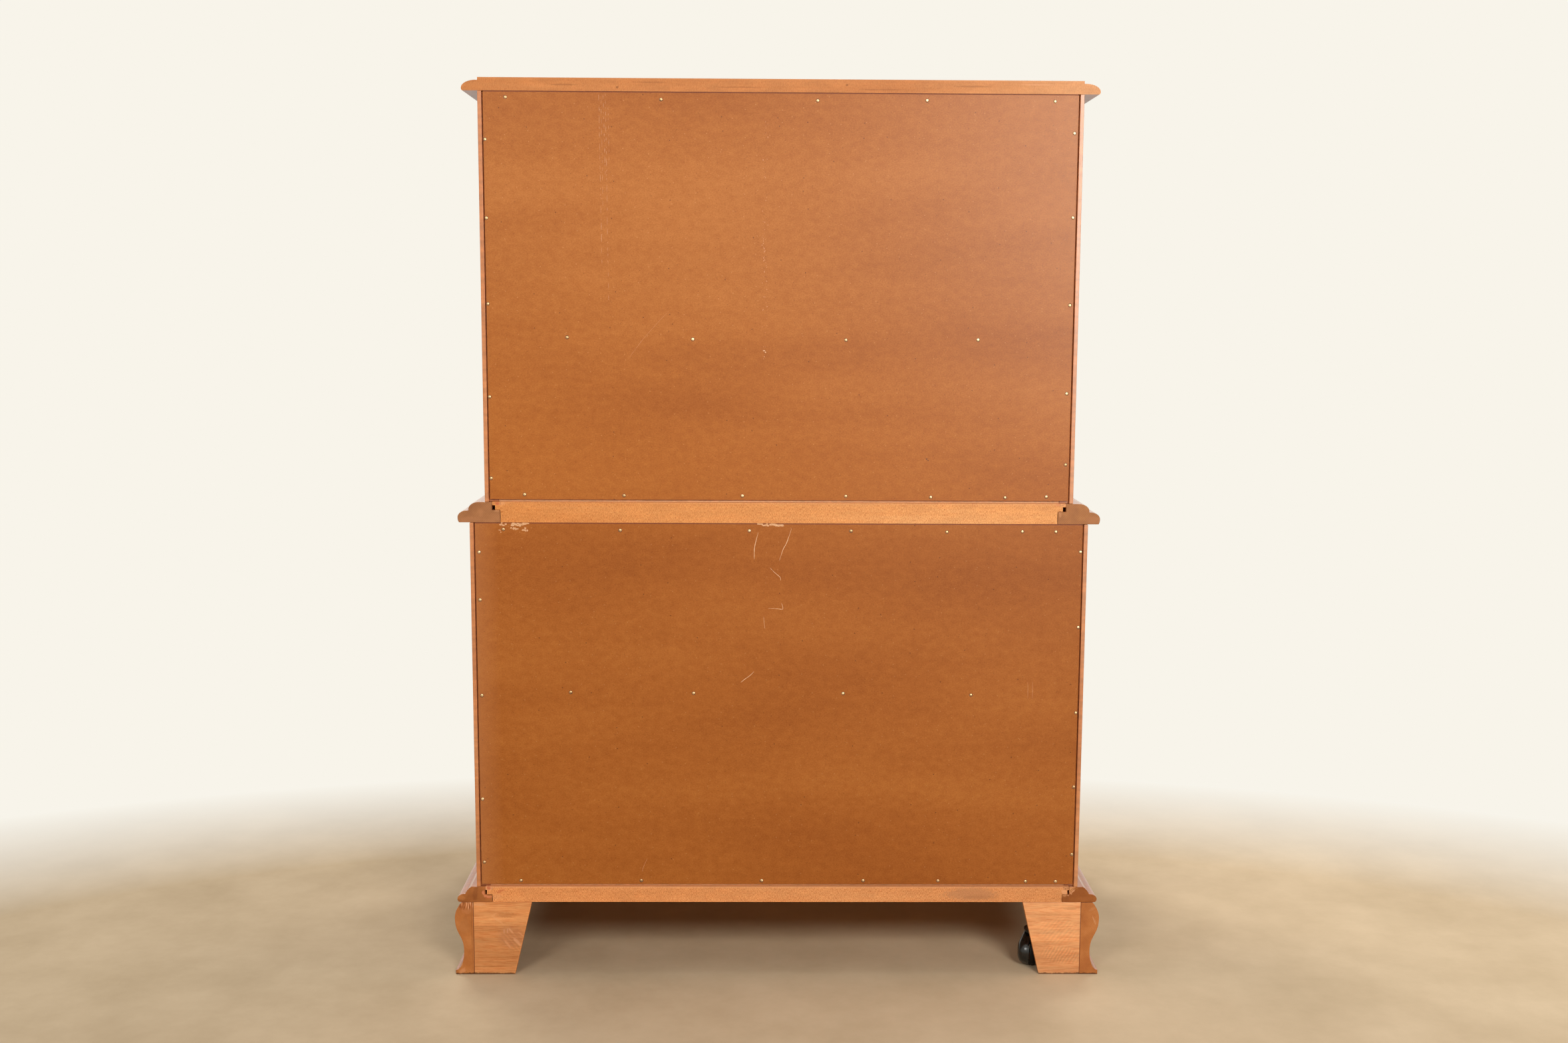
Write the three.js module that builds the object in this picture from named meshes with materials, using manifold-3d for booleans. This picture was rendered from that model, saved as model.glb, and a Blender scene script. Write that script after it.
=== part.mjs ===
// A maple chest on chest: two cases of drawers, one above the other, on ogee bracket feet.
// Millimetres, +Z up, the drawers face -Y, the nailed back panels face +Y, and the floor is at Z 0.
// While it is being made the back plane of the cases is at Y 0; the group then moves to its middle.

import * as THREE from "three";
import { ConvexGeometry } from "three/addons/geometries/ConvexGeometry.js";
import { mergeVertices } from "three/addons/utils/BufferGeometryUtils.js";
import Module from "manifold-3d";

const wasm = await Module();
wasm.setup();

// Heights, from the floor up
const footHeight = 110.5;
const baseThickness = 23.5;
const lowerCaseHeight = 537.7;
const waistThickness = 29.6;
const upperCaseHeight = 569.2;
const topThickness = 18;

// Widths and depths
const lowerCaseWidth = 881.2;
const lowerCaseDepth = 445;
const caseStep = 22.3; // how far the upper case stands in, at the front and at each side

// Gaps between pieces
const seatGap = 0.2; // between glued or resting faces
const cutOverrun = 4; // how far a cutter runs past what it cuts
const weldOverlap = 1; // how far two halves of one glued piece reach into each other

// Case sides and back panels
const sideThickness = 19;
const rebateDepth = 6;
const rebateLip = 5.5;
const panelThickness = 5;
const panelSideGap = 1.8;
const panelFootGap = 4;
const panelHeadGap = 1.2;

// Drawer frames inside the cases
const frameThickness = 19;
const frameMemberWidth = 45;
const thirdOpeningShare = 0.412; // of the upper case's height between its frames
const secondOpeningShare = 0.3082;
const bottomOpeningShare = 0.544; // of the lower case's

// The waist, base and top mouldings. Each "out" is measured from the face of the case below them,
// or of the upper case for the top board, and each height from the underside.
const waist = {
  thickness: waistThickness,
  memberWidth: 60.5,
  noseOut: 16.9,
  noseHeight: 7.3,
  underRound: 2.5,
  shoulderOut: 3.4,
  shoulderHeight: 17.3,
  stepOut: 1.4,
  stepHeight: 18.8,
  flatOut: -14.1,
  lipHeight: 17.8,
  lipReach: 11.5,
  tongueReach: 7,
};
const base = {
  thickness: baseThickness,
  memberWidth: 51.2,
  noseOut: 28.9,
  noseHeight: 4.5,
  underRound: 3.9,
  shoulderOut: 18.5,
  shoulderHeight: 12.5,
  stepOut: 17,
  stepHeight: 13.5,
  flatOut: 8.4,
  lipHeight: 11.5,
  lipReach: 10.2,
  tongueReach: 7.8,
};
const top = {
  thickness: topThickness,
  noseOut: 22.2,
  noseHeight: 3.5,
  underRound: 2,
  shoulderOut: 1.7,
  shoulderHeight: 14.3,
  stepOut: -0.3,
  stepHeight: topThickness,
  flatOut: -0.3,
};
const arcSteps = 6;

// The joint between a back rail and the side mouldings
const tongueThickness = 6.5;

// Ogee feet
const footInnerOut = 6.4;
const footTopOut = 23.1;
const footSwellOut = 33.2;
const footNeckOut = 20.6;
const footToeOut = 33.2;
const toeRise = 6.5;
const neckHeightShare = 0.32;
const swellHeightShare = 0.775;
const swellPullShare = 0.5;
const footRun = 152;
const padRun = 64;
const cuspRun = 96;
const cuspHeight = 60;
const bracketLip = 9;

// Back boards of the back feet
const boardThickness = 12;
const boardTopRun = 86;
const boardFootRun = 60;

// Casters and the corner blocks that hold them
const ballRadius = 21;
const ballClearance = 0.8;
const hoodRadius = 19.9;
const hoodDepth = 17.5;
const hoodFullness = 0.7; // 1 makes the hood's dome a plain ellipse, and less makes it squarer
const casterTrail = 18;
const stemLead = 4; // of the stem past the seam, to the ball's side
const ballTilt = THREE.MathUtils.degToRad(1);
const seamGap = 0.4;
const axleRadius = 3;
const axleLength = 12;
const axleClearance = 0.4;
const stemRadius = 5;
const stemLength = 32;
const stemClearance = 0.4;
const stemEndGap = 2;
const collarRadius = 13.4;
const collarThickness = 2.4;
const collarRise = 8.4; // of the collar's end above the ball
const bossRadius = 11.8;
const bossLength = 3.4;
const stemFromSide = 61.2;
const swingGap = 3.8; // between the ball on its way round and the foot
const blockWall = 14.6;
const blockFootWall = 6.9; // at the block's foot, where its corner is planed to the board's slant
const blockBack = 12;
const backLeftHeading = THREE.MathUtils.degToRad(170.3);
const frontLeftHeading = THREE.MathUtils.degToRad(25);
const frontRightHeading = THREE.MathUtils.degToRad(-40);
const roundFacets = 20;
const smallFacets = 12;

// Drawers
const lipOverlap = 7;
const frontThickness = 8.5; // of the lipped face
const plugDepth = 12;
const plugSideGap = 2;
const plugHeightGap = 2.5;
const lipSeatGap = 0.3;
const lipBand = 2.2;
const thumbnailWidth = 6.5;
const thumbnailFillet = 1.2;
const boxWall = 12.5;
const boxSideGap = 2;
const boxRunGap = 0.3;
const boxHeadGap = 8;
const boxBackGap = 18;
const boxBottomThickness = 5;
const boxBottomLift = 11;

// Drawer pulls
const pullSpreadShare = 0.5334; // of the lower case's half width
const plateHalfWidth = 52;
const plateHalfHeight = 31;
const plateThickness = 1.8;
const postCentres = 76;
const postRadius = 5;
const postLength = 12.5;
const postFootRadius = 7.5;
const postFootLength = 2.5;
const pivotStandoff = 7.5;
const pivotHoleRadius = 2.5;
const pinRadius = 1.9;
const bailRadius = 2.4;
const bailArmGap = 0.8;
const bailDrop = 30;
const bailSteps = 20;
const bailFacets = 6;
const plateSteps = 3;
const postFacets = 8;

// Colours of the finishes
const maple = 0xc9814a;
const paleMaple = 0xdfa873;
const hardboard = 0xa9622f;
const brassColour = 0xb08a45;
const blackPlastic = 0x1c1b1a;

// Sizes that follow from the ones above
const lowerHalf = lowerCaseWidth / 2;
const upperHalf = lowerHalf - caseStep;
const upperCaseDepth = lowerCaseDepth - caseStep;
const baseZ = footHeight;
const lowerZ = baseZ + baseThickness;
const waistZ = lowerZ + lowerCaseHeight;
const upperZ = waistZ + waistThickness;
const topZ = upperZ + upperCaseHeight;
const pivotY = plateThickness + pivotStandoff;
const pullSpread = lowerHalf * pullSpreadShare;
const stemX = lowerHalf + footInnerOut - stemFromSide;
const stemZ = ballRadius * 2 + collarRise; // where the collar ends and the stem enters its block
const stemFromBoard = Math.hypot(casterTrail, stemLead) + ballRadius + swingGap;
const backStemY = -boardThickness - stemFromBoard;
const frontStemY = -(lowerCaseDepth + footInnerOut) + stemFromBoard;

const chest = new THREE.Group();
chest.position.y = (lowerCaseDepth + footSwellOut) / 2;

function finish(color, roughness, metalness) {
  return new THREE.MeshStandardMaterial({ color, roughness, metalness });
}

const finishes = {
  case: () => finish(maple, 0.45, 0),
  inner: () => finish(paleMaple, 0.8, 0),
  panel: () => finish(hardboard, 0.55, 0),
  brass: () => finish(brassColour, 0.35, 1),
  plastic: () => finish(blackPlastic, 0.4, 0),
};

function piece(name, geometry, kind, position = [0, 0, 0]) {
  const mesh = new THREE.Mesh(geometry, finishes[kind]());
  mesh.name = name;
  mesh.position.set(...position);
  chest.add(mesh);
  return mesh;
}

// A closed geometry as a solid that can be joined and cut, and back again
function solid(geometry) {
  const bare = geometry.clone();
  bare.deleteAttribute("normal");
  bare.deleteAttribute("uv");
  const merged = mergeVertices(bare);
  const vertProperties = new Float32Array(merged.attributes.position.array);
  const triVerts = new Uint32Array(merged.index.array);
  return new wasm.Manifold(new wasm.Mesh({ numProp: 3, vertProperties, triVerts }));
}

function geometryOf(manifold) {
  const mesh = manifold.getMesh();
  const geometry = new THREE.BufferGeometry();
  geometry.setAttribute("position", new THREE.BufferAttribute(new Float32Array(mesh.vertProperties), 3));
  geometry.setIndex(new THREE.BufferAttribute(new Uint32Array(mesh.triVerts), 1));
  geometry.computeVertexNormals();
  return geometry;
}

// A box between two corners
function block(low, high) {
  const size = high.map((value, axis) => value - low[axis]);
  const geometry = new THREE.BoxGeometry(...size);
  return geometry.translate(...low.map((value, axis) => value + size[axis] / 2));
}

function prism(shape, length, steps = arcSteps) {
  return new THREE.ExtrudeGeometry(shape, { depth: length, bevelEnabled: false, curveSegments: steps });
}

// A shape drawn in X and Z, run from the plane Y = from towards -Y
function alongDepth(shape, from, length, steps) {
  return prism(shape, length, steps).rotateX(Math.PI / 2).translate(0, from, 0);
}

// A shape drawn in Y and Z, run from the plane X = from towards +X
function alongWidth(shape, from, length, steps) {
  const turn = new THREE.Matrix4().makeBasis(
    new THREE.Vector3(0, 1, 0),
    new THREE.Vector3(0, 0, 1),
    new THREE.Vector3(1, 0, 0),
  );
  return prism(shape, length, steps).applyMatrix4(turn).translate(from, 0, 0);
}

function outline(points) {
  return new THREE.Shape(points.map(([u, v]) => new THREE.Vector2(u, v)));
}

// Rings of points joined in turn and closed at both ends. flat is the ring as drawn in its own plane.
function loft(rings, flat) {
  const count = flat.length;
  const index = [];
  for (let ring = 0; ring + 1 < rings.length; ring += 1) {
    for (let point = 0; point < count; point += 1) {
      const next = (point + 1) % count;
      const a = ring * count + point;
      const b = ring * count + next;
      index.push(a, b, b + count, a, b + count, a + count);
    }
  }
  const last = (rings.length - 1) * count;
  for (const [a, b, c] of THREE.ShapeUtils.triangulateShape(flat, [])) {
    index.push(a, c, b, last + a, last + b, last + c);
  }
  const geometry = new THREE.BufferGeometry();
  geometry.setAttribute("position", new THREE.Float32BufferAttribute(rings.flat(2), 3));
  const inwards = volumeOf(rings.flat(), index) < 0;
  geometry.setIndex(inwards ? index.map((_, i) => index[i + 2 - 2 * (i % 3)]) : index);
  geometry.computeVertexNormals();
  return geometry;
}

// The skin stretched over the corners of two geometries
function stretched(one, other) {
  const corners = [one, other].flatMap(({ attributes: { position } }) =>
    Array.from({ length: position.count }, (_, i) => new THREE.Vector3().fromBufferAttribute(position, i)),
  );
  return new ConvexGeometry(corners);
}

// Six times the volume that the triangles enclose, below zero if they face inwards
function volumeOf(points, index) {
  let sum = 0;
  for (let i = 0; i < index.length; i += 3) {
    const [a, b, c] = [0, 1, 2].map((corner) => new THREE.Vector3(...points[index[i + corner]]));
    sum += a.dot(b.cross(c));
  }
  return sum;
}

// The moulded edge from the underside to the flat top, as points (out, up)
function mouldedEdge(m) {
  const path = new THREE.Path();
  const quarter = Math.PI / 2;
  path.moveTo(m.noseOut - m.underRound, 0);
  path.absellipse(m.noseOut - m.underRound, m.noseHeight, m.underRound, m.noseHeight, -quarter, 0, false, 0);
  path.absellipse(
    m.shoulderOut,
    m.noseHeight,
    m.noseOut - m.shoulderOut,
    m.shoulderHeight - m.noseHeight,
    0,
    quarter,
    false,
    0,
  );
  path.lineTo(m.stepOut, m.shoulderHeight);
  path.lineTo(m.stepOut, m.stepHeight);
  if (m.flatOut < m.stepOut) {
    path.absellipse(
      m.flatOut,
      m.stepHeight,
      m.stepOut - m.flatOut,
      m.thickness - m.stepHeight,
      0,
      quarter,
      false,
      0,
    );
  }
  return path.getPoints(arcSteps);
}

// A moulded member seen from its end: the moulded edge, and a lip on its inner edge for the back rail
function memberProfile(m) {
  const innerOut = m.noseOut - m.memberWidth;
  const inner = [
    [innerOut + m.lipReach, m.thickness],
    [innerOut + m.lipReach, m.lipHeight],
    [innerOut, m.lipHeight],
    [innerOut, 0],
  ];
  return [...mouldedEdge(m), ...inner.map(([out, up]) => new THREE.Vector2(out, up))];
}

// The front and side members of a moulded frame, mitred at the front corners
function mitredFrame(m, z) {
  const profile = memberProfile(m);
  const corners = [
    [-1, false],
    [-1, true],
    [1, true],
    [1, false],
  ];
  const rings = corners.map(([side, front]) =>
    profile.map(({ x: out, y: up }) => [
      side * (lowerHalf + out),
      front ? -(lowerCaseDepth + out) : 0,
      z + seatGap + up * (1 - seatGap / m.thickness),
    ]),
  );
  return loft(rings, profile);
}

// The back member, stepped at its ends over the lips of the side members
function backRail(m, z) {
  const innerHalf = lowerHalf + m.noseOut - m.memberWidth;
  const low = z + seatGap;
  const lip = z + m.lipHeight + seatGap * 2;
  const tongue = lip + tongueThickness;
  const high = z + m.thickness;
  const right = [
    [innerHalf - seatGap, low],
    [innerHalf - seatGap, lip],
    [innerHalf + m.tongueReach, lip],
    [innerHalf + m.tongueReach, tongue],
    [innerHalf + m.lipReach - seatGap, tongue],
    [innerHalf + m.lipReach - seatGap, high],
  ];
  const left = right.map(([x, up]) => [-x, up]).reverse();
  return alongDepth(outline([...right, ...left]), 0, m.memberWidth);
}

// A board whose edge is moulded at both sides and at the front
function mouldedBoard(m, half, depth, z) {
  const flat = [
    [-1, 0],
    [-1, -1],
    [1, -1],
    [1, 0],
  ];
  const rings = mouldedEdge(m).map(({ x: out, y: up }) =>
    flat.map(([side, front]) => [side * (half + out), front * (depth + out), z + up]),
  );
  return loft(rings, flat.map(([u, v]) => new THREE.Vector2(u, v)));
}

function caseSide(side, half, depth, height) {
  const points = [
    [half - rebateLip, 0],
    [half, 0],
    [half, -depth],
    [half - sideThickness, -depth],
    [half - sideThickness, -rebateDepth],
    [half - rebateLip, -rebateDepth],
  ];
  return prism(outline(points.map(([x, y]) => [side * x, y])), height - seatGap * 2);
}

function backPanel(half, z, height) {
  const width = half - rebateLip - panelSideGap;
  const rear = panelThickness - rebateDepth;
  return block([-width, -rebateDepth + seatGap, z + panelFootGap], [width, rear, z + height - panelHeadGap]);
}

// A drawer frame: front rail and two runners, with a back rail unless it is left open behind
function drawerFrame(half, depth, hasBack) {
  const width = half - sideThickness - seatGap;
  const rear = -rebateDepth - seatGap;
  const inner = width - frameMemberWidth;
  const innerFront = -depth + frameMemberWidth;
  if (!hasBack) {
    return prism(
      outline([
        [-width, rear],
        [-width, -depth],
        [width, -depth],
        [width, rear],
        [inner, rear],
        [inner, innerFront],
        [-inner, innerFront],
        [-inner, rear],
      ]),
      frameThickness - seatGap,
    );
  }
  const shape = outline([
    [-width, rear],
    [-width, -depth],
    [width, -depth],
    [width, rear],
  ]);
  const innerRear = rear - frameMemberWidth;
  const gap = [
    [-inner, innerRear],
    [inner, innerRear],
    [inner, innerFront],
    [-inner, innerFront],
  ];
  shape.holes.push(new THREE.Path(gap.map(([x, y]) => new THREE.Vector2(x, y))));
  return prism(shape, frameThickness - seatGap);
}

// The ogee profile of a foot as points (out, up): flat toe, hollow neck, full swell
function footProfile() {
  const high = footHeight - seatGap;
  const neckZ = footHeight * neckHeightShare;
  const swellZ = footHeight * swellHeightShare;
  const pull = (swellZ - neckZ) * swellPullShare;
  const path = new THREE.Path();
  path.moveTo(footInnerOut, 0);
  path.lineTo(footToeOut, 0);
  path.lineTo(footToeOut, toeRise);
  path.absellipse(
    footToeOut,
    neckZ,
    footToeOut - footNeckOut,
    neckZ - toeRise,
    -Math.PI / 2,
    -Math.PI,
    true,
    0,
  );
  path.bezierCurveTo(footNeckOut, neckZ + pull, footSwellOut, swellZ - pull, footSwellOut, swellZ);
  path.quadraticCurveTo(footSwellOut, swellZ + (high - swellZ) * swellPullShare, footTopOut, high);
  path.lineTo(footInnerOut, high);
  return path.getPoints(arcSteps);
}

// What the scroll saw takes away under a bracket, drawn as (run from the corner, up)
function scrollCut() {
  const shape = new THREE.Shape();
  const crown = footHeight - bracketLip;
  shape.moveTo(padRun, -cutOverrun);
  shape.lineTo(padRun, 0);
  shape.bezierCurveTo(padRun, cuspHeight / 2, cuspRun, cuspHeight / 2, cuspRun, cuspHeight);
  shape.bezierCurveTo(cuspRun, crown, (cuspRun + footRun) / 2, crown, footRun + cutOverrun, crown);
  shape.lineTo(footRun + cutOverrun, -cutOverrun);
  return shape.getPoints(arcSteps);
}

// The outline that place() makes of points drawn from a corner or a case side
function placed(points, place) {
  return new THREE.Shape(points.map(({ x, y }) => new THREE.Vector2(place(x), y)));
}

// The corner block of a foot, drilled for the caster stem. It runs out to outerX and from front to rear in Y.
function cornerBlock(side, outerX, front, rear, stemY) {
  const foot = stemZ + seatGap;
  const high = footHeight - seatGap;
  const slant = (boardTopRun - boardFootRun) / footHeight;
  const points = [
    [outerX, foot],
    [outerX, high],
    [stemX - blockWall, high],
    [stemX - blockWall, foot + (blockWall - blockFootWall) / slant],
    [stemX - blockFootWall, foot],
  ];
  const wood = solid(alongDepth(outline(points.map(([x, up]) => [side * x, up])), rear, rear - front));
  const radius = stemRadius + stemClearance;
  const depth = stemLength + stemEndGap;
  const hole = new THREE.CylinderGeometry(radius, radius, depth + cutOverrun, smallFacets);
  hole.rotateX(Math.PI / 2);
  hole.translate(side * stemX, stemY, foot + (depth - cutOverrun) / 2);
  return wood.subtract(solid(hole));
}

function frontFoot(side) {
  const profile = footProfile();
  const armEnd = lowerHalf + footSwellOut - footRun;
  const sideEnd = -(lowerCaseDepth + footSwellOut - footRun);
  const rings = [
    profile.map(({ x: out, y: up }) => [side * armEnd, -(lowerCaseDepth + out), up]),
    profile.map(({ x: out, y: up }) => [side * (lowerHalf + out), -(lowerCaseDepth + out), up]),
    profile.map(({ x: out, y: up }) => [side * (lowerHalf + out), sideEnd, up]),
  ];
  const cut = scrollCut();
  const outerX = lowerHalf + footSwellOut;
  const outerY = lowerCaseDepth + footSwellOut;
  const frontCut = alongDepth(
    placed(cut, (run) => side * (outerX - run)),
    -(lowerCaseDepth - cutOverrun),
    footSwellOut + cutOverrun * 2,
  );
  const sideCut = alongWidth(
    placed(cut, (run) => run - outerY),
    side > 0 ? lowerHalf - cutOverrun : -lowerHalf - footSwellOut - cutOverrun,
    footSwellOut + cutOverrun * 2,
  );
  const brackets = solid(loft(rings, profile)).subtract(solid(frontCut)).subtract(solid(sideCut));
  const insideX = lowerHalf + footInnerOut + weldOverlap;
  const insideY = -(lowerCaseDepth + footInnerOut + weldOverlap);
  const corner = cornerBlock(side, insideX, insideY, frontStemY + blockBack, frontStemY);
  return geometryOf(brackets.add(corner));
}

function backFootSide(side) {
  const profile = footProfile();
  const shape = placed(profile, (out) => side * (lowerHalf + out));
  const bracket = solid(alongDepth(shape, 0, footRun));
  const cut = alongWidth(
    placed(scrollCut(), (run) => -run),
    side > 0 ? lowerHalf - cutOverrun : -lowerHalf - footSwellOut - cutOverrun,
    footSwellOut + cutOverrun * 2,
  );
  return geometryOf(bracket.subtract(solid(cut)));
}

function backFootBoard(side) {
  const outerX = lowerHalf + footInnerOut - seatGap;
  const high = footHeight - seatGap;
  const points = [
    [outerX, 0],
    [outerX, high],
    [outerX - boardTopRun, high],
    [outerX - boardFootRun, 0],
  ];
  const board = solid(alongDepth(outline(points.map(([x, up]) => [side * x, up])), 0, boardThickness));
  const corner = cornerBlock(side, outerX, backStemY - blockBack, weldOverlap - boardThickness, backStemY);
  return geometryOf(board.add(corner));
}

// A caster whose axle points to its heading, from the hood to the ball. The ball trails the stem.
function caster(name, x, y, heading) {
  const across = new THREE.Vector3(Math.cos(heading), Math.sin(heading), 0);
  const trail = new THREE.Vector3(across.y, -across.x, 0);
  const axle = across.clone().multiplyScalar(Math.cos(ballTilt)).setZ(-Math.sin(ballTilt));
  const turn = new THREE.Quaternion().setFromUnitVectors(new THREE.Vector3(0, 1, 0), axle);
  const centre = new THREE.Vector3(x, y, ballRadius);
  centre.addScaledVector(trail, casterTrail).addScaledVector(across, -stemLead);

  const ball = piece(`${name}_ball`, new THREE.LatheGeometry(ballPoints(), roundFacets), "plastic");
  ball.quaternion.copy(turn);
  ball.position.copy(centre);

  const shoulder = new THREE.CircleGeometry(bossRadius + seamGap, roundFacets);
  shoulder.translate(x - centre.x, y - centre.y, stemZ - collarThickness - bossLength - ballRadius);
  const stem = new THREE.LatheGeometry(stemPoints(), roundFacets).rotateX(Math.PI / 2);
  stem.translate(x - centre.x, y - centre.y, stemZ - ballRadius);
  const dome = new THREE.LatheGeometry(domePoints(), roundFacets).applyQuaternion(turn);
  const room = new THREE.LatheGeometry(roomPoints(), roundFacets).applyQuaternion(turn);
  const hood = solid(stretched(dome, shoulder)).add(solid(stem)).subtract(solid(room));
  piece(`${name}_hood`, geometryOf(hood), "plastic", centre.toArray());
}

// Half sections turned about the axle or the stem
function ballPoints() {
  const points = [
    [0, -axleLength],
    [axleRadius, -axleLength],
    [axleRadius, 0],
  ];
  return halfSection([...points, ...quarterRound(ballRadius, ballRadius, arcSteps)]);
}

function domePoints() {
  const dome = quarterRound(hoodRadius, -hoodDepth, arcSteps, hoodFullness);
  return halfSection([[0, 0], ...dome].map(([radius, along]) => [radius, along - seamGap]));
}

// The room in the hood for the ball and its axle
function roomPoints() {
  const bore = axleRadius + axleClearance;
  const deep = -axleLength - axleClearance;
  const radius = ballRadius + ballClearance;
  return halfSection([
    [0, deep],
    [bore, deep],
    [bore, -seamGap],
    [radius, -seamGap],
    ...quarterRound(radius, radius, arcSteps),
  ]);
}

// A quarter circle from the rim to the pole on the axis, as [radius, along] pairs
function quarterRound(radius, height, steps, fullness = 1) {
  const angles = Array.from({ length: steps }, (_, i) => (i / steps) * (Math.PI / 2));
  const round = angles.map((a) => [radius * Math.cos(a) ** fullness, height * Math.sin(a) ** fullness]);
  return [...round, [0, height]];
}

function stemPoints() {
  const sunk = -collarThickness - bossLength - weldOverlap;
  return halfSection([
    [0, sunk],
    [bossRadius, sunk],
    [bossRadius, -collarThickness],
    [collarRadius, -collarThickness],
    [collarRadius, 0],
    [stemRadius, 0],
    [stemRadius, stemLength],
    [0, stemLength],
  ]);
}

function halfSection(points) {
  return points.map(([radius, along]) => new THREE.Vector2(radius, along));
}

// A drawer: its lipped front board, its box, and a pull at each side
function drawer(name, openingHalf, frontY, low, high) {
  const centreZ = (low + high) / 2;
  const halfHeight = (high - low) / 2;
  piece(`${name}_front`, drawerFront(openingHalf, halfHeight), "case", [0, frontY, centreZ]);
  piece(`${name}_box`, drawerBox(openingHalf, frontY, low, high), "inner");
  const faceY = frontY - lipSeatGap - frontThickness - seatGap;
  for (const [hand, side] of [
    ["left", -1],
    ["right", 1],
  ]) {
    const place = [side * pullSpread, faceY, centreZ];
    piece(`${name}_pull_${hand}_plate`, pullPlate(), "brass", place);
    piece(`${name}_pull_${hand}_bail`, bail(), "brass", place);
  }
}

function drawerFront(openingHalf, halfHeight) {
  const plug = [-plugSideGap, -plugHeightGap];
  const stations = [
    [...plug, plugDepth],
    [...plug, -lipSeatGap],
    [lipOverlap, lipOverlap, -lipSeatGap],
  ];
  const round = frontThickness - lipBand - thumbnailFillet;
  for (const [width, rise] of quarterRound(thumbnailWidth, round, arcSteps)) {
    const grow = lipOverlap - thumbnailWidth + width;
    stations.push([grow, grow, -lipSeatGap - lipBand - rise]);
  }
  const face = lipOverlap - thumbnailWidth;
  stations.push([face, face, -lipSeatGap - frontThickness]);
  const flat = [
    [-1, -1],
    [1, -1],
    [1, 1],
    [-1, 1],
  ];
  const rings = stations.map(([growX, growZ, y]) =>
    flat.map(([u, v]) => [u * (openingHalf + growX), y, v * (halfHeight + growZ)]),
  );
  return loft(rings, flat.map(([u, v]) => new THREE.Vector2(u, v)));
}

function drawerBox(openingHalf, frontY, low, high) {
  const half = openingHalf - boxSideGap;
  const front = frontY + plugDepth + seatGap;
  const back = -rebateDepth - boxBackGap;
  const foot = low + boxRunGap;
  const rim = high - boxHeadGap;
  const inside = half - boxWall;
  const bottom = foot + boxBottomLift;
  const open = front - cutOverrun;
  const wall = back - boxWall;
  const body = solid(block([-half, front, foot], [half, back, rim]));
  const hollow = solid(block([-inside, open, bottom + boxBottomThickness], [inside, wall, rim + cutOverrun]));
  const under = solid(block([-inside, open, foot - cutOverrun], [inside, wall, bottom]));
  return geometryOf(body.subtract(hollow).subtract(under));
}

// A backplate of the bat-wing kind, as shares of its half width and half height, right half only.
// Each row is a control point and the end of that curve.
const plateShares = [
  [0.1, 0.62, 0.3, 0.78],
  [0.52, 1.12, 0.68, 0.66],
  [0.82, 0.86, 1, 0.52],
  [0.82, 0.3, 0.84, 0.06],
  [0.94, -0.12, 0.86, -0.36],
  [0.66, -0.26, 0.58, -0.52],
  [0.46, -0.94, 0.24, -0.7],
  [0.12, -0.66, 0, -1],
];

function plateOutline() {
  const right = new THREE.Path();
  right.moveTo(0, plateHalfHeight);
  for (const [cx, cz, x, z] of plateShares) {
    right.quadraticCurveTo(
      cx * plateHalfWidth,
      cz * plateHalfHeight,
      x * plateHalfWidth,
      z * plateHalfHeight,
    );
  }
  const points = right.getPoints(plateSteps);
  const left = points
    .slice(1, -1)
    .map(({ x, y }) => new THREE.Vector2(-x, y))
    .reverse();
  return new THREE.Shape([...points, ...left]);
}

// The plate with its two posts, each drilled across for the bail
function pullPlate() {
  let plate = solid(alongDepth(plateOutline(), 0, plateThickness));
  for (const side of [-1, 1]) {
    const post = new THREE.LatheGeometry(postPoints(), postFacets).rotateX(Math.PI);
    post.translate((side * postCentres) / 2, -plateThickness, 0);
    plate = plate.add(solid(post));
  }
  const reach = postCentres + postRadius * 2 + cutOverrun;
  const hole = new THREE.CylinderGeometry(pivotHoleRadius, pivotHoleRadius, reach, postFacets);
  hole.rotateZ(Math.PI / 2).translate(0, -pivotY, 0);
  return geometryOf(plate.subtract(solid(hole)));
}

function postPoints() {
  const tipHeight = postRadius / 2;
  const tip = quarterRound(postRadius, tipHeight, plateSteps);
  return halfSection([
    [0, -plateThickness / 2],
    [postFootRadius, -plateThickness / 2],
    [postFootRadius, postFootLength / 2],
    [postRadius, postFootLength],
    ...tip.map(([radius, along]) => [radius, postLength - tipHeight + along]),
  ]);
}

// The right half of a bail, from its pin down: out from the arm as shares of the rod's radius,
// and down as shares of the drop
const bailShares = [
  [0.2, 0],
  [0, 0.09],
  [-0.3, 0.3],
  [1.2, 0.55],
  [0.9, 0.84],
  [-2, 1],
];

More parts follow.
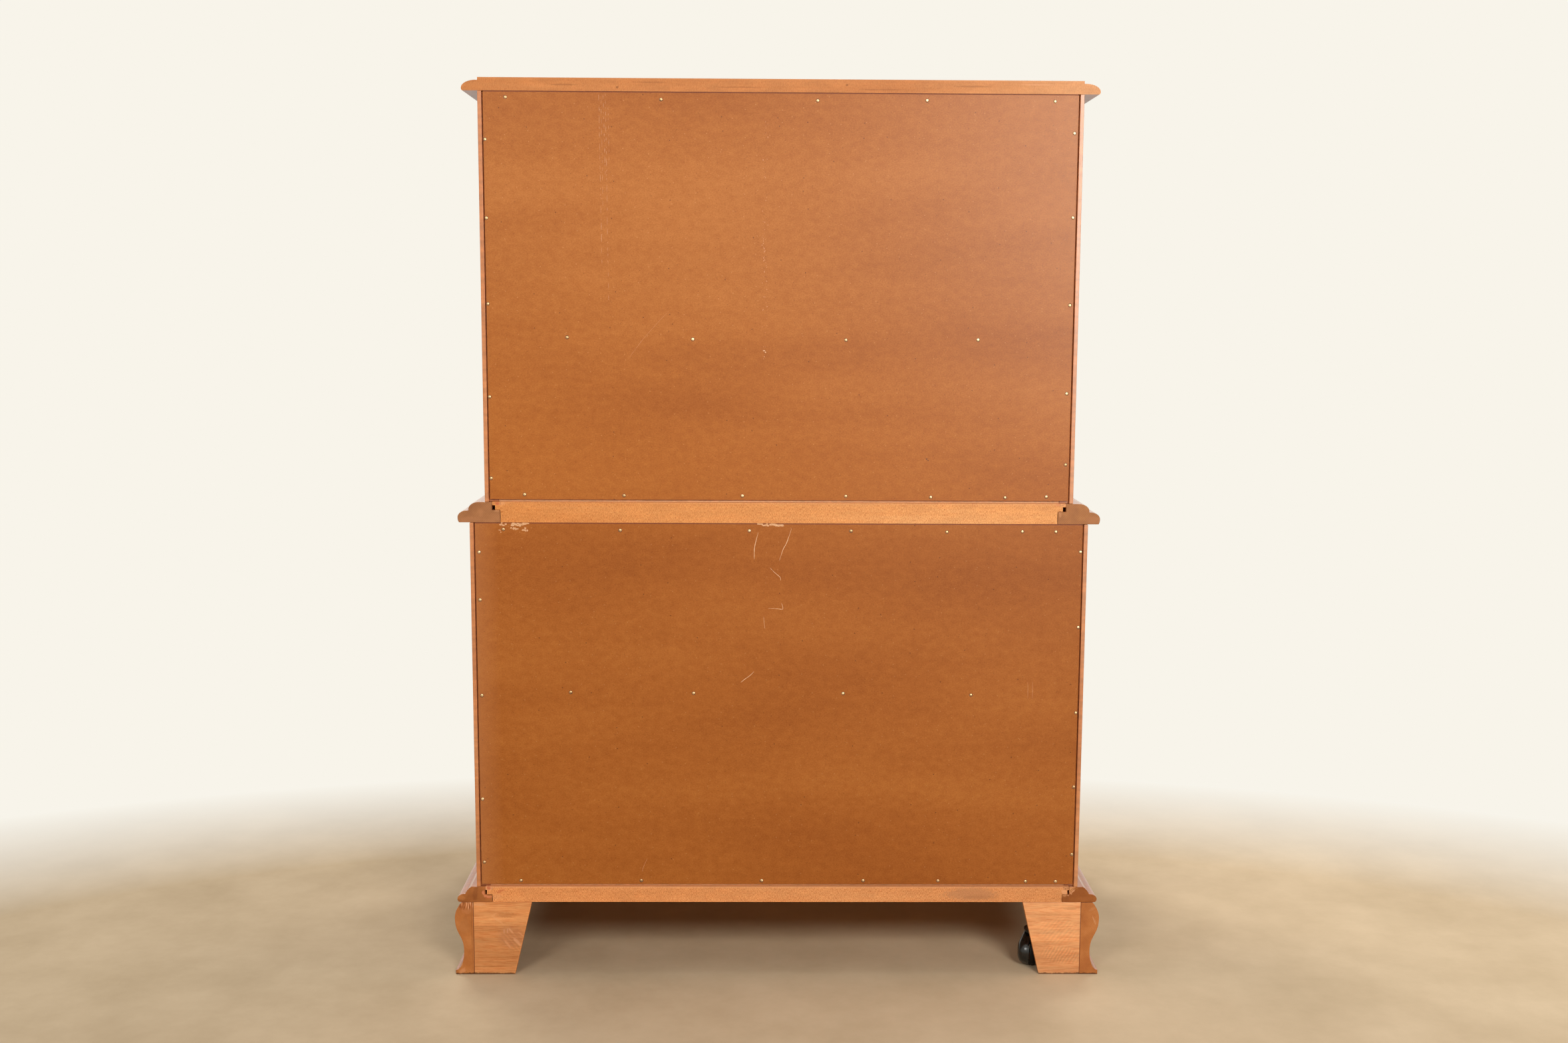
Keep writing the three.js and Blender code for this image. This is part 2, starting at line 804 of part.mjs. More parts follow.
// The swinging handle, hanging down from its pins
function bail() {
  const pinEnd = postCentres / 2 + postRadius;
  const arm = postCentres / 2 - postRadius - bailArmGap - bailRadius;
  const halfPoints = bailShares.map(([out, down]) => [arm + out * bailRadius, -down * bailDrop]);
  const right = halfPoints.map(([x, z]) => new THREE.Vector3(x, -pivotY, z));
  const left = halfPoints.map(([x, z]) => new THREE.Vector3(-x, -pivotY, z)).reverse();
  const bottom = new THREE.Vector3(0, -pivotY, -bailDrop);
  const path = new THREE.CatmullRomCurve3([...right, bottom, ...left], false, "centripetal");
  const ring = Array.from({ length: bailFacets }, (_, i) => (i / bailFacets) * Math.PI * 2);
  const section = ring.map((angle) => [bailRadius * Math.cos(angle), bailRadius * Math.sin(angle)]);
  const along = { steps: bailSteps, bevelEnabled: false, extrudePath: path };
  let handle = solid(new THREE.ExtrudeGeometry(outline(section), along));
  for (const side of [-1, 1]) {
    const length = pinEnd - arm;
    const pin = new THREE.CylinderGeometry(pinRadius, pinRadius, length, bailFacets);
    pin.rotateZ(Math.PI / 2).translate(side * (arm + length / 2), -pivotY, 0);
    handle = handle.add(solid(pin));
  }
  return geometryOf(handle);
}

function mouldings() {
  piece("top_board", mouldedBoard(top, upperHalf, upperCaseDepth, topZ), "case");
  piece("waist_moulding", mitredFrame(waist, waistZ), "case");
  piece("waist_back_rail", backRail(waist, waistZ), "case");
  piece("base_moulding", mitredFrame(base, baseZ), "case");
  piece("base_back_rail", backRail(base, baseZ), "case");
}

function caseShell(name, half, depth, z, height) {
  piece(`${name}_side_left`, caseSide(-1, half, depth, height), "case", [0, 0, z + seatGap]);
  piece(`${name}_side_right`, caseSide(1, half, depth, height), "case", [0, 0, z + seatGap]);
  piece(`${name}_back_panel`, backPanel(half, z, height), "panel");
}

function upperCase() {
  caseShell("upper", upperHalf, upperCaseDepth, upperZ, upperCaseHeight);
  const names = ["upper_bottom_frame", "upper_middle_frame", "upper_open_frame", "upper_top_frame"];
  const open = upperCaseHeight - frameThickness * names.length;
  const low = [upperZ + frameThickness];
  low.push(low[0] + open * thirdOpeningShare + frameThickness);
  low.push(low[1] + open * secondOpeningShare + frameThickness);
  const seats = [...low.map((z) => z - frameThickness), topZ - frameThickness];
  seats.forEach((z, i) => {
    const frame = drawerFrame(upperHalf, upperCaseDepth, names[i] !== "upper_open_frame");
    piece(names[i], frame, "inner", [0, 0, z + seatGap / 2]);
  });
  const opening = upperHalf - sideThickness;
  seats.slice(1).forEach((high, i) => drawer(`drawer_${3 - i}`, opening, -upperCaseDepth, low[i], high));
}

function lowerCase() {
  caseShell("lower", lowerHalf, lowerCaseDepth, lowerZ, lowerCaseHeight);
  const names = ["lower_bottom_frame", "lower_middle_frame", "lower_top_frame"];
  const open = lowerCaseHeight - frameThickness * names.length;
  const low = [lowerZ + frameThickness];
  low.push(low[0] + open * bottomOpeningShare + frameThickness);
  const seats = [...low.map((z) => z - frameThickness), waistZ - frameThickness];
  seats.forEach((z, i) => {
    piece(names[i], drawerFrame(lowerHalf, lowerCaseDepth, true), "inner", [0, 0, z + seatGap / 2]);
  });
  const opening = lowerHalf - sideThickness;
  seats.slice(1).forEach((high, i) => drawer(`drawer_${5 - i}`, opening, -lowerCaseDepth, low[i], high));
}

function feet() {
  for (const [hand, side] of [
    ["left", -1],
    ["right", 1],
  ]) {
    piece(`front_foot_${hand}`, frontFoot(side), "case");
    piece(`back_foot_${hand}_side`, backFootSide(side), "case");
    piece(`back_foot_${hand}_board`, backFootBoard(side), "case");
  }
}

// Three casters: the block of the right back foot is drilled for a fourth
function casters() {
  caster("caster_back_left", -stemX, backStemY, backLeftHeading);
  caster("caster_front_left", -stemX, frontStemY, frontLeftHeading);
  caster("caster_front_right", stemX, frontStemY, frontRightHeading);
}

mouldings();
upperCase();
lowerCase();
feet();
casters();

export default chest;
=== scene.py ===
"""A maple chest on chest, seen from its nailed back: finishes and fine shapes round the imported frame."""

import math
import random

import bmesh
import bpy
from mathutils import Matrix, Vector


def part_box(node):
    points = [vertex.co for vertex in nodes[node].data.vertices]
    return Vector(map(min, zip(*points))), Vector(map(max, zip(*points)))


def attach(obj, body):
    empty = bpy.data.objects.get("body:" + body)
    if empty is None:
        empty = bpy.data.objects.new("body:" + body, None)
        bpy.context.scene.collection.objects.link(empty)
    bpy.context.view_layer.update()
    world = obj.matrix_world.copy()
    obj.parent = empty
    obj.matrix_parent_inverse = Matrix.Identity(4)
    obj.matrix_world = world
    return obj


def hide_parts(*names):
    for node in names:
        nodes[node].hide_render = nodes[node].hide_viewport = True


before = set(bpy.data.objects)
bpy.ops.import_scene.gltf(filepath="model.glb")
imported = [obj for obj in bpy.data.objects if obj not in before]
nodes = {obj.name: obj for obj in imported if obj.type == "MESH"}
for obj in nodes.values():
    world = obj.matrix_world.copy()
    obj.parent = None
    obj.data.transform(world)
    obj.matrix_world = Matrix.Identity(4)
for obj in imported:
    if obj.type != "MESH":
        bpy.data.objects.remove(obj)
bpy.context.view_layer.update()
scene = bpy.context.scene
mm = 0.001

# Places that come from the solids, in metres
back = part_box("base_back_rail")[1].y
lower_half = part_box("lower_side_right")[1].x
upper_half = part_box("upper_side_right")[1].x
lower_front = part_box("lower_side_right")[0].y
upper_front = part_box("upper_side_right")[0].y
panel_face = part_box("lower_back_panel")[1].y
foot_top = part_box("back_foot_left_side")[1].z

# Sizes that repeat the solids' own, in millimetres
waist = {
    "node": "waist_moulding",
    "thickness": 29.6,
    "member": 60.5,
    "nose_out": 16.9,
    "nose_height": 7.3,
    "under_round": 2.5,
    "shoulder_out": 3.4,
    "shoulder_height": 17.3,
    "step_out": 1.4,
    "step_height": 18.8,
    "flat_out": -14.1,
    "bulge": 1,
    "lip_height": 17.8,
    "lip_reach": 11.5,
}
base = {
    "node": "base_moulding",
    "thickness": 23.5,
    "member": 51.2,
    "nose_out": 28.9,
    "nose_height": 4.5,
    "under_round": 3.9,
    "shoulder_out": 18.5,
    "shoulder_height": 12.5,
    "step_out": 17.0,
    "step_height": 13.5,
    "flat_out": 8.4,
    "bulge": 0.25,
    "lip_height": 11.5,
    "lip_reach": 10.2,
}
top = {
    "node": "top_board",
    "thickness": 18.0,
    "nose_out": 22.2,
    "nose_height": 3.5,
    "under_round": 2.0,
    "shoulder_out": 1.7,
    "shoulder_height": 14.3,
    "step_out": -0.3,
    "step_height": 18.0,
    "flat_out": -0.3,
}

foot_inner_out = 6.4
foot_top_out = 23.1
foot_swell_out = 33.2
foot_neck_out = 20.6
foot_toe_out = 33.2
toe_rise = 6.5
neck_height = 35.36
swell_height = 85.64
foot_run = 152.0
pad_run = 64.0
cusp_run = 96.0
cusp_height = 60.0
bracket_lip = 9.0
foot_height = 110.5
seat_gap = 0.2
board_foot_width = 60.0
frame_set_in = 6.2
frame_rail = 45.0

ball_radius = 21.0
ball_clearance = 0.8
hood_radius = 19.9
hood_depth = 17.5
hood_fullness = 0.7
seam_gap = 0.4
ball_tilt = math.radians(1)
caster_trail = 18.0
stem_lead = 4.0
stem_height = 50.4
stem_from_side = 61.2
stem_radius = 5.0
stem_reach = 32.0
socket_radius = 5.4
socket_depth = 34.0
axle_radius = 3.0
axle_reach = 11.9
axle_room = 0.4
swing_gap = 3.8
boss_radius = 11.8
collar_radius = 13.4
collar_thickness = 2.4
boss_length = 3.4
board_thickness = 12.0
board_slant = 26 / 110.5
block_wall = 14.6
block_foot_wall = 6.9
block_back = 12.0
stem_from_board = math.hypot(caster_trail, stem_lead) + ball_radius + swing_gap
stem_x = lower_half + (foot_inner_out - stem_from_side) * mm
back_stem = back - (board_thickness + stem_from_board) * mm
front_stem = lower_front - (foot_inner_out - stem_from_board) * mm
casters = {
    "back_left": (Vector((-stem_x, back_stem, 0)), math.radians(170.3)),
    "front_left": (Vector((-stem_x, front_stem, 0)), math.radians(25)),
    "front_right": (Vector((stem_x, front_stem, 0)), math.radians(-40)),
}

lip_overlap = 7.0
front_thickness = 8.5
plug_depth = 12.0
lip_seat_gap = 0.3
lip_band = 2.2
thumbnail_width = 6.5
thumbnail_fillet = 1.2
box_wall = 12.5
box_bottom_lift = 11.0
box_bottom_thickness = 5.0
plug_gap_side = 2.0
plug_gap_height = 2.5

plate_half_width = 52.0
plate_half_height = 31.0
plate_thickness = 1.8
post_centres = 76.0
post_radius = 5.0
post_length = 12.5
pivot_standoff = 7.5
bail_radius = 2.4
bail_drop = 30.0
bail_arm_gap = 0.8

# Sizes of the finer shapes and finishes that only this script has, in millimetres
mitre_gap = 0.03
joint_gap = 0.05
merge_distance = 0.002
saw_past = 5.0
tail_depth = 9.0
tail_pitch = 38.0
glued_strip = 93.0
rail_reach = 420.0
# The stain of a show face ends this far in from the face, at the edge beside it; the frames' painted light
# spans this band too
edge_band_near = 0.9
edge_band_far = 1.6


# Materials

# A Mix node's colour sockets have the same names as its number sockets, so they go by their places
mix_share, mix_under, mix_over, mix_result = 0, 6, 7, 2


def linear(code):
    """A colour as written on a screen, such as #c9814a, turned to the linear values that light needs."""
    shares = [int(code[i : i + 2], 16) / 255 for i in (1, 3, 5)]
    return [s / 12.92 if s <= 0.04045 else ((s + 0.055) / 1.055) ** 2.4 for s in shares] + [1]


def add(material, kind, inputs=(), stops=(), **settings):
    """Adds one node with its settings, its colour stops, and its inputs as values or as links."""
    tree = material.node_tree
    node = tree.nodes.new("ShaderNode" + kind)
    for key, value in settings.items():
        setattr(node, key, value)
    for key, value in dict(inputs).items():
        if isinstance(value, bpy.types.NodeSocket):
            tree.links.new(value, node.inputs[key])
        else:
            node.inputs[key].default_value = value
    for place, (position, code) in enumerate(stops):
        ends = len(node.color_ramp.elements)
        stop = node.color_ramp.elements[place] if place < ends else node.color_ramp.elements.new(position)
        stop.position = position
        stop.color = linear(code)
    return node


def finish(name):
    """A new material, its surface shader, and the coordinates of the piece itself."""
    material = bpy.data.materials.new(name)
    material.use_nodes = True
    shader = material.node_tree.nodes["Principled BSDF"]
    coordinates = add(material, "TexCoord").outputs["Object"]
    return material, shader, coordinates


def surface(material, shader, colour, height, depth, roughness, spread, coat=0.0, ior=1.5):
    """Sets the colour, a roughness that varies a little with the pattern, and the fine relief."""
    tree = material.node_tree
    tree.links.new(colour, shader.inputs["Base Color"])
    least, most = roughness - spread, roughness + spread
    inputs = {"Value": height, "From Min": 0.2, "From Max": 0.8, "To Min": least, "To Max": most}
    rough = add(material, "MapRange", inputs).outputs[0]
    tree.links.new(rough, shader.inputs["Roughness"])
    relief = add(material, "Bump", {"Height": height, "Distance": depth * mm, "Strength": 0.5})
    tree.links.new(relief.outputs[0], shader.inputs["Normal"])
    shader.inputs["IOR"].default_value = ior
    shader.inputs["Coat Weight"].default_value = coat
    shader.inputs["Coat Roughness"].default_value = 0.16


def streaks(material, coordinates, along, run, width, shift, detail=3.0, roughness=0.55):
    """Noise drawn out along the grain: run and width are the length and the width of one streak in mm."""
    scale = [1 / (width * mm)] * 3
    scale["xyz".index(along)] = 1 / (run * mm)
    place = add(material, "Mapping", {"Vector": coordinates, "Scale": scale, "Location": shift})
    inputs = {"Vector": place.outputs[0], "Scale": 1.0, "Detail": detail, "Roughness": roughness}
    return add(material, "TexNoise", inputs).outputs["Fac"]


def specks(material, coordinates, size, detail, roughness=0.5):
    """Noise that is alike in every direction: specks or clouds of a size in mm."""
    return streaks(material, coordinates, "x", size, size, (0, 0, 0), detail, roughness)


def strewn(material, coordinates, spacing, radius, rare, share, shift):
    """Dots in the plane of the back, with a spacing and a radius in mm: only the rare ones are kept."""
    place = add(material, "SeparateXYZ", {0: coordinates}).outputs
    flat = add(material, "CombineXYZ", {"X": place["X"], "Y": place["Z"]}).outputs[0]
    per_metre = 1 / (spacing * mm)
    inputs = {"Vector": flat, "Location": (per_metre * 0.013, shift[0] + 0.11, 0)}
    moved = add(material, "Mapping", inputs).outputs[0]
    inputs = {"Vector": moved, "Scale": per_metre}
    cells = add(material, "TexVoronoi", inputs, feature="F1", voronoi_dimensions="2D").outputs
    near, far = radius / spacing, 1.9 * radius / spacing
    inputs = {"Value": cells["Distance"], "From Min": near, "From Max": far, "To Min": share, "To Max": 0.0}
    dots = add(material, "MapRange", inputs).outputs[0]
    kind = add(material, "SeparateColor", {0: cells["Color"]}).outputs["Red"]
    picked = add(material, "Math", {0: kind, 1: rare}, operation="GREATER_THAN").outputs[0]
    return add(material, "Math", {0: dots, 1: picked}, operation="MULTIPLY").outputs[0]


def ripples(material, coordinates, pitch, lean, distortion):
    """Waves of a given pitch in mm across the back, leaning from upright by an angle in degrees."""
    inputs = {"Vector": coordinates, "Rotation": (0, math.radians(lean), 0)}
    turned = add(material, "Mapping", inputs).outputs[0]
    # At a scale of 1 the Wave node goes through 20 radians in each metre
    scale = math.tau / (20 * pitch * mm)
    inputs = {"Vector": turned, "Scale": scale, "Distortion": distortion, "Detail": 2.0}
    return add(material, "TexWave", inputs, wave_type="BANDS", bands_direction="X").outputs["Fac"]


def share_along(material, coordinates, axis, start, end, first=0.0, last=1.0):
    """A share that changes evenly between two places along an axis, which are in metres."""
    position = add(material, "SeparateXYZ", {0: coordinates}).outputs[axis]
    inputs = {"Value": position, "From Min": start, "From Max": end, "To Min": first, "To Max": last}
    return add(material, "MapRange", inputs).outputs[0]


def zone(material, coordinates, middle, half, lean, share=1.0, torn=1.5):
    """A ragged spot on the back, its middle and half sizes in mm, its lean in degrees: a share inside it."""
    inputs = {
        "Vector": coordinates,
        "Location": (middle[0] * mm, 0, middle[1] * mm),
        "Rotation": (0, math.radians(lean), 0),
        "Scale": (half[0] * mm, 1000, half[1] * mm),
    }
    inside = add(material, "Mapping", inputs, vector_type="TEXTURE").outputs[0]
    reach = add(material, "VectorMath", {0: inside}, operation="LENGTH").outputs["Value"]
    ragged = specks(material, coordinates, 3.03, 4.0, 0.65)
    reach = add(material, "Math", {0: ragged, 1: torn, 2: reach}, operation="MULTIPLY_ADD").outputs[0]
    near, far = 0.75 + torn / 2, 1.3 + torn / 2
    inputs = {"Value": reach, "From Min": near, "From Max": far, "To Min": share, "To Max": 0.0}
    return add(material, "MapRange", inputs).outputs[0]


def layered(material, colour, *layers):
    """Colours or patterns laid over the first one, each with the share that it covers of those below."""
    for share, layer in layers:
        inputs = {mix_share: share, mix_under: colour, mix_over: layer}
        colour = add(material, "Mix", inputs, data_type="RGBA").outputs[mix_result]
    return colour


def shaded(material, colour, pattern, limits, tones, share=1.0):
    """A colour made darker or lighter by a pattern, whose two limits give the two tones."""
    inputs = {"Value": pattern, "From Min": limits[0], "From Max": limits[1]}
    inputs |= {"To Min": tones[0], "To Max": tones[1]}
    tone = add(material, "MapRange", inputs).outputs[0]
    inputs = {mix_share: share, mix_under: colour, mix_over: tone}
    return add(material, "Mix", inputs, data_type="RGBA", blend_type="MULTIPLY").outputs[mix_result]


def tinted(material, colour, pattern, tints, share=1.0):
    """A colour multiplied by the tint that a pattern picks from a row of them."""
    tint = add(material, "ValToRGB", {"Fac": pattern}, tints).outputs["Color"]
    inputs = {mix_share: share, mix_under: colour, mix_over: tint}
    return add(material, "Mix", inputs, data_type="RGBA", blend_type="MULTIPLY").outputs[mix_result]


def spotted(material, coordinates, colour, spots):
    """Spots of other colours, each a middle and half sizes in mm, a lean, a colour and a share."""
    for middle, half, lean, code, share in spots:
        spot = zone(material, coordinates, middle, half, lean, share)
        colour = layered(material, colour, (spot, linear(code)))
    return colour


# Colours from shade to light: the show faces, the rails left pale at the back, and bare drawer wood
show_wood = ("#83441f", "#a15a2c", "#b9703b")
rail_wood = ("#e29d5d", "#f9b876", "#ffd29a")
base_wood = ("#dc9353", "#f5ab6a", "#ffc789")
edge_wood = ("#b4693a", "#d08550", "#e09c69")
top_edge_wood = ("#c58352", "#e3a571", "#f4c093")
bare_wood = ("#cd9a68", "#e2b483", "#f0ca9e")
foot_wood = {"left": ("#d8945c", "#f0ac73", "#fac896"), "right": ("#c78248", "#de985c", "#efb278")}

# Torn fibre, filler and smudged stain
peach, salmon, rust, umber = "#e8a878", "#d98558", "#c8623c", "#7a3f18"

# Hardboard from shade to light, then its dark and its pale fibres: the lower's are darker, partly painted
# shade
upper_fibre = ("#9f5821", "#b1692d", "#c1793b", "#5e3117", "#d29661")
lower_fibre_and_shade = ("#965018", "#a85f22", "#b87030", "#4f280e", "#c28a55")


def maple_grain(material, coordinates, along, colours, shift, figure=0.35, curl=(7, 34)):
    """Hard maple: close even grain, fine dark pores, and curl of a run and width in mm that catches light."""
    tone = streaks(material, coordinates, along, 420, 46, shift, 2.0)
    growth = streaks(material, coordinates, along, 160, 5.5, shift, 4.0, 0.6)
    fibre = streaks(material, coordinates, along, 14, 0.7, shift, 2.0)
    together = layered(material, tone, (0.42, growth), (0.16, fibre))
    stops = [(0.30, colours[0]), (0.5, colours[1]), (0.72, colours[2])]
    colour = add(material, "ValToRGB", {"Fac": together}, stops).outputs["Color"]
    ripple = streaks(material, coordinates, along, *curl, shift, 2.0, 0.5)
    colour = shaded(material, colour, ripple, (0.35, 0.7), (1.0 - figure * 0.45, 1.0 + figure * 0.22))
    pores = streaks(material, coordinates, along, 5.0, 0.42, shift, 1.0)
    colour = shaded(material, colour, pores, (0.63, 0.72), (1.0, 0.82))
    return colour, fibre


def maple(name, along, colours, shift, figure=0.35, coat=0.8, roughness=0.46):
    """Hard maple, planed, stained and sprayed with a satin lacquer: a soft sheen over close grain."""
    material, shader, coordinates = finish(name)
    colour, fibre = maple_grain(material, coordinates, along, colours, shift, figure)
    surface(material, shader, colour, fibre, 0.015, roughness, 0.06, coat)
    return material


def end_grain(name, colours, lined, spots):
    """Sawn end grain: the stain sinks in, so it is dull and brown, with faint saw lines and torn fibres."""
    material, shader, coordinates = finish(f"end grain {name}")
    cloud = specks(material, coordinates, 16.67, 5.0)
    vessels = specks(material, coordinates, 0.909, 1.0)
    pattern = layered(material, cloud, (0.16, vessels))
    stops = [(0.3, colours[0]), (0.5, colours[1]), (0.7, colours[2])]
    colour = add(material, "ValToRGB", {"Fac": pattern}, stops).outputs["Color"]
    saw = ripples(material, coordinates, 1.9, -52, 2.2)
    colour = shaded(material, colour, saw, (0.0, 1.0), (1.0 - lined, 1.0 + lined))
    colour = spotted(material, coordinates, colour, spots)
    surface(material, shader, colour, pattern, 0.05, 0.62, 0.08, ior=1.3)
    return material


def rail_finish(node, colours, shift, tints, spots, cloudy=(0.93, 1.06), rough=0.9):
    """Maple planed but not sanded: fine chatter across the grain, and stain taken up unevenly."""
    material, shader, coordinates = finish(f"planed maple {node}")
    grain, fibre = maple_grain(material, coordinates, "x", colours, shift, 0.16, (0.8, 9))
    colour = layered(material, grain, (0.55, linear(colours[1])))
    cloud = streaks(material, coordinates, "x", 40, 14, shift, 4.0, 0.6)
    colour = shaded(material, colour, cloud, (0.32, 0.68), cloudy)
    chatter = streaks(material, coordinates, "z", 2.6, 0.75, shift, 2.0, 0.6)
    stops = [(0.32, "#cf9873"), (0.5, "#f4e5d8"), (0.64, "#ffffff")]
    colour = tinted(material, colour, chatter, stops, rough)
    # The top arris is furred, and paler
    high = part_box(node)[1].z
    furred = share_along(material, coordinates, "Z", high - 2.6 * mm, high - 1.4 * mm, 0.0, 0.3)
    colour = layered(material, colour, (furred, linear(peach)))
    # Tints along the board; the top edge and the waist rail pale towards -x: a painted sheen
    place = share_along(material, coordinates, "X", -rail_reach * mm, rail_reach * mm)
    colour = tinted(material, colour, place, tints)
    colour = spotted(material, coordinates, colour, spots)
    surface(material, shader, colour, fibre, 0.03, 0.6, 0.06, ior=1.3)
    return material


def hardboard(panel, colours, shift, tints, worn_edge=0.0):
    """Hardboard, smooth side out: pressed brown fibre under a thin stain, with pale and dark fibres in it."""
    material, shader, coordinates = finish(f"{panel} hardboard")
    fibre = streaks(material, coordinates, "x", 2.2, 1.3, shift, 4.0, 0.65)
    felt = streaks(material, coordinates, "x", 13, 8, shift, 3.0, 0.5)
    cloud = streaks(material, coordinates, "x", 640, 120, shift, 2.0, 0.5)
    together = layered(material, cloud, (0.32, felt), (0.46, fibre))
    stops = [(0.37, colours[0]), (0.5, colours[1]), (0.63, colours[2])]
    colour = add(material, "ValToRGB", {"Fac": together}, stops).outputs["Color"]
    # Chips of bark, large and small, and pale fibres: spacing, radius, how rare, colour and share
    dots = [
        (38.46, 0.54, 0.72, colours[3], 0.8),
        (13.333, 0.347, 0.6, colours[3], 0.55),
        (16.667, 0.5, 0.7, colours[4], 0.5),
    ]
    for spacing, radius, rare, code, share in dots:
        near = strewn(material, coordinates, spacing, radius, rare, share, shift)
        colour = layered(material, colour, (near, linear(code)))
    low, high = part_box(f"{panel}_back_panel")
    height = share_along(material, coordinates, "Z", low.z, high.z)
    colour = tinted(material, colour, height, tints)
    if worn_edge:
        # Handling has rubbed the finish thin along the panel's right hand edge
        rubbed = share_along(material, coordinates, "X", 400 * mm, 432 * mm, 0.0, worn_edge)
        colour = layered(material, colour, (rubbed, linear("#c88a5e")))
    surface(material, shader, colour, fibre, 0.05, 0.42, 0.05, ior=1.3)
    return material


def brass(name, colours, roughness):
    """Cast brass, brushed and left to darken: warm metal with brown tarnish in patches."""
    material, shader, coordinates = finish(name)
    tarnish = specks(material, coordinates, 6.25, 4.0, 0.6)
    stops = [(0.3, colours[0]), (0.55, colours[1]), (0.75, colours[2])]
    colour = add(material, "ValToRGB", {"Fac": tarnish}, stops).outputs["Color"]
    surface(material, shader, colour, tarnish, 0.05, roughness, 0.1)
    shader.inputs["Metallic"].default_value = 1.0
    return material


def hard_plastic(name, colours, roughness, ior):
    """Moulded black nylon: a clear gloss where it is clean, dulled by specks of dust."""
    material, shader, coordinates = finish(name)
    dust = specks(material, coordinates, 2.381, 4.0, 0.7)
    stops = [(0.45, colours[0]), (0.62, colours[1]), (0.75, colours[2])]
    colour = add(material, "ValToRGB", {"Fac": dust}, stops).outputs["Color"]
    surface(material, shader, colour, dust, 0.01, roughness, 0.06, ior=ior)
    return material


def bared(name, colours):
    """Torn fibre: where the finish has flaked or been scratched, the rough matt fibre under it shows; also
    matt painted shade.
    """
    material, shader, coordinates = finish(name)
    torn = specks(material, coordinates, 1.667, 3.0)
    stops = [(0.3, colours[0]), (0.7, colours[1])]
    colour = add(material, "ValToRGB", {"Fac": torn}, stops).outputs["Color"]
    surface(material, shader, colour, torn, 0.1, 0.7, 0.05)
    return material


def framing_wood(case, front):
    """Bare maple of a frame: its rails' grain runs across the case and its runners' grain runs back."""
    material, shader, coordinates = finish(f"{case} frame maple")
    across, fibre = maple_grain(material, coordinates, "x", bare_wood, (0, 0, 0), 0.2)
    deep, deep_fibre = maple_grain(material, coordinates, "y", bare_wood, (0.3, 0, 0), 0.2)
    y = add(material, "SeparateXYZ", {0: coordinates}).outputs["Y"]
    rear = back - frame_set_in * mm
    ahead = add(material, "Math", {0: y, 1: front + frame_rail * mm}, operation="GREATER_THAN").outputs[0]
    behind = add(material, "Math", {0: y, 1: rear - frame_rail * mm}, operation="LESS_THAN").outputs[0]
    runner = add(material, "Math", {0: ahead, 1: behind}, operation="MULTIPLY").outputs[0]
    colour = layered(material, across, (runner, deep))
    # The rear edge is painted a quarter lighter: painted light for the shaded gap under each back panel
    colour = shaded(material, colour, y, (rear - edge_band_far * mm, rear - edge_band_near * mm), (1.0, 1.25))
    # The front edge is stained like the show faces
    stained, _ = maple_grain(material, coordinates, "x", show_wood, (0.1, 0.2, 0), 0.25)
    near, far = front + edge_band_near * mm, front + edge_band_far * mm
    front_edge = share_along(material, coordinates, "Y", near, far, 1.0, 0.0)
    colour = layered(material, colour, (front_edge, stained))
    surface(material, shader, colour, layered(material, fibre, (runner, deep_fibre)), 0.06, 0.6, 0.05)
    return material


def side_wood(case, side, half, seed):
    """Maple of a case side: stained on its show face, and paler on its edges where spray only dusted it."""
    material, shader, coordinates = finish(f"{case} side maple {side}")
    shown, fibre = maple_grain(material, coordinates, "z", show_wood, (seed * side, seed, 0.2), 0.25)
    edge, _ = maple_grain(material, coordinates, "z", edge_wood, (seed, 0.3, 0.4), 0.4)
    ahead = share_along(material, coordinates, "Y", back - edge_band_far * mm, back - edge_band_near * mm, 1.0, 0.0)
    far, near = side * (half - edge_band_far * mm), side * (half - edge_band_near * mm)
    outer = share_along(material, coordinates, "X", far, near)
    stained = add(material, "Math", {0: outer, 1: ahead}, operation="MULTIPLY").outputs[0]
    colour = layered(material, edge, (stained, shown))
    surface(material, shader, colour, fibre, 0.015, 0.42, 0.06, 0.15)
    return material


def top_wood():
    """The top's maple: glued strips, each with its own tone, lacquered over the stain."""
    material, shader, coordinates = finish("top boards")
    colour, fibre = maple_grain(material, coordinates, "x", show_wood, (0.2, 0, 0.7), 0.3)
    y = add(material, "SeparateXYZ", {0: coordinates}).outputs["Y"]
    number = add(material, "Math", {0: y, 1: glued_strip * mm}, operation="DIVIDE").outputs[0]
    number = add(material, "Math", {0: number}, operation="FLOOR").outputs[0]
    tone = add(material, "TexWhiteNoise", {"W": number}, noise_dimensions="1D").outputs["Value"]
    colour = shaded(material, colour, tone, (0, 1), (0.86, 1.08))
    surface(material, shader, colour, fibre, 0.05, 0.4, 0.06, 0.2)
    return material


def painted_foot_shadow(material, coordinates, colour):
    """A painted contact shadow: the lowest few millimetres of a foot darkened, with a ragged edge, where it
    meets the floor.
    """
    z = add(material, "SeparateXYZ", {0: coordinates}).outputs["Z"]
    torn = specks(material, coordinates, 5.263, 4.0)
    height = add(material, "Math", {0: torn, 1: -5.0 * mm, 2: z}, operation="MULTIPLY_ADD").outputs[0]
    return shaded(material, colour, height, (-0.9 * mm, -0.1 * mm), (0.25, 1.0))


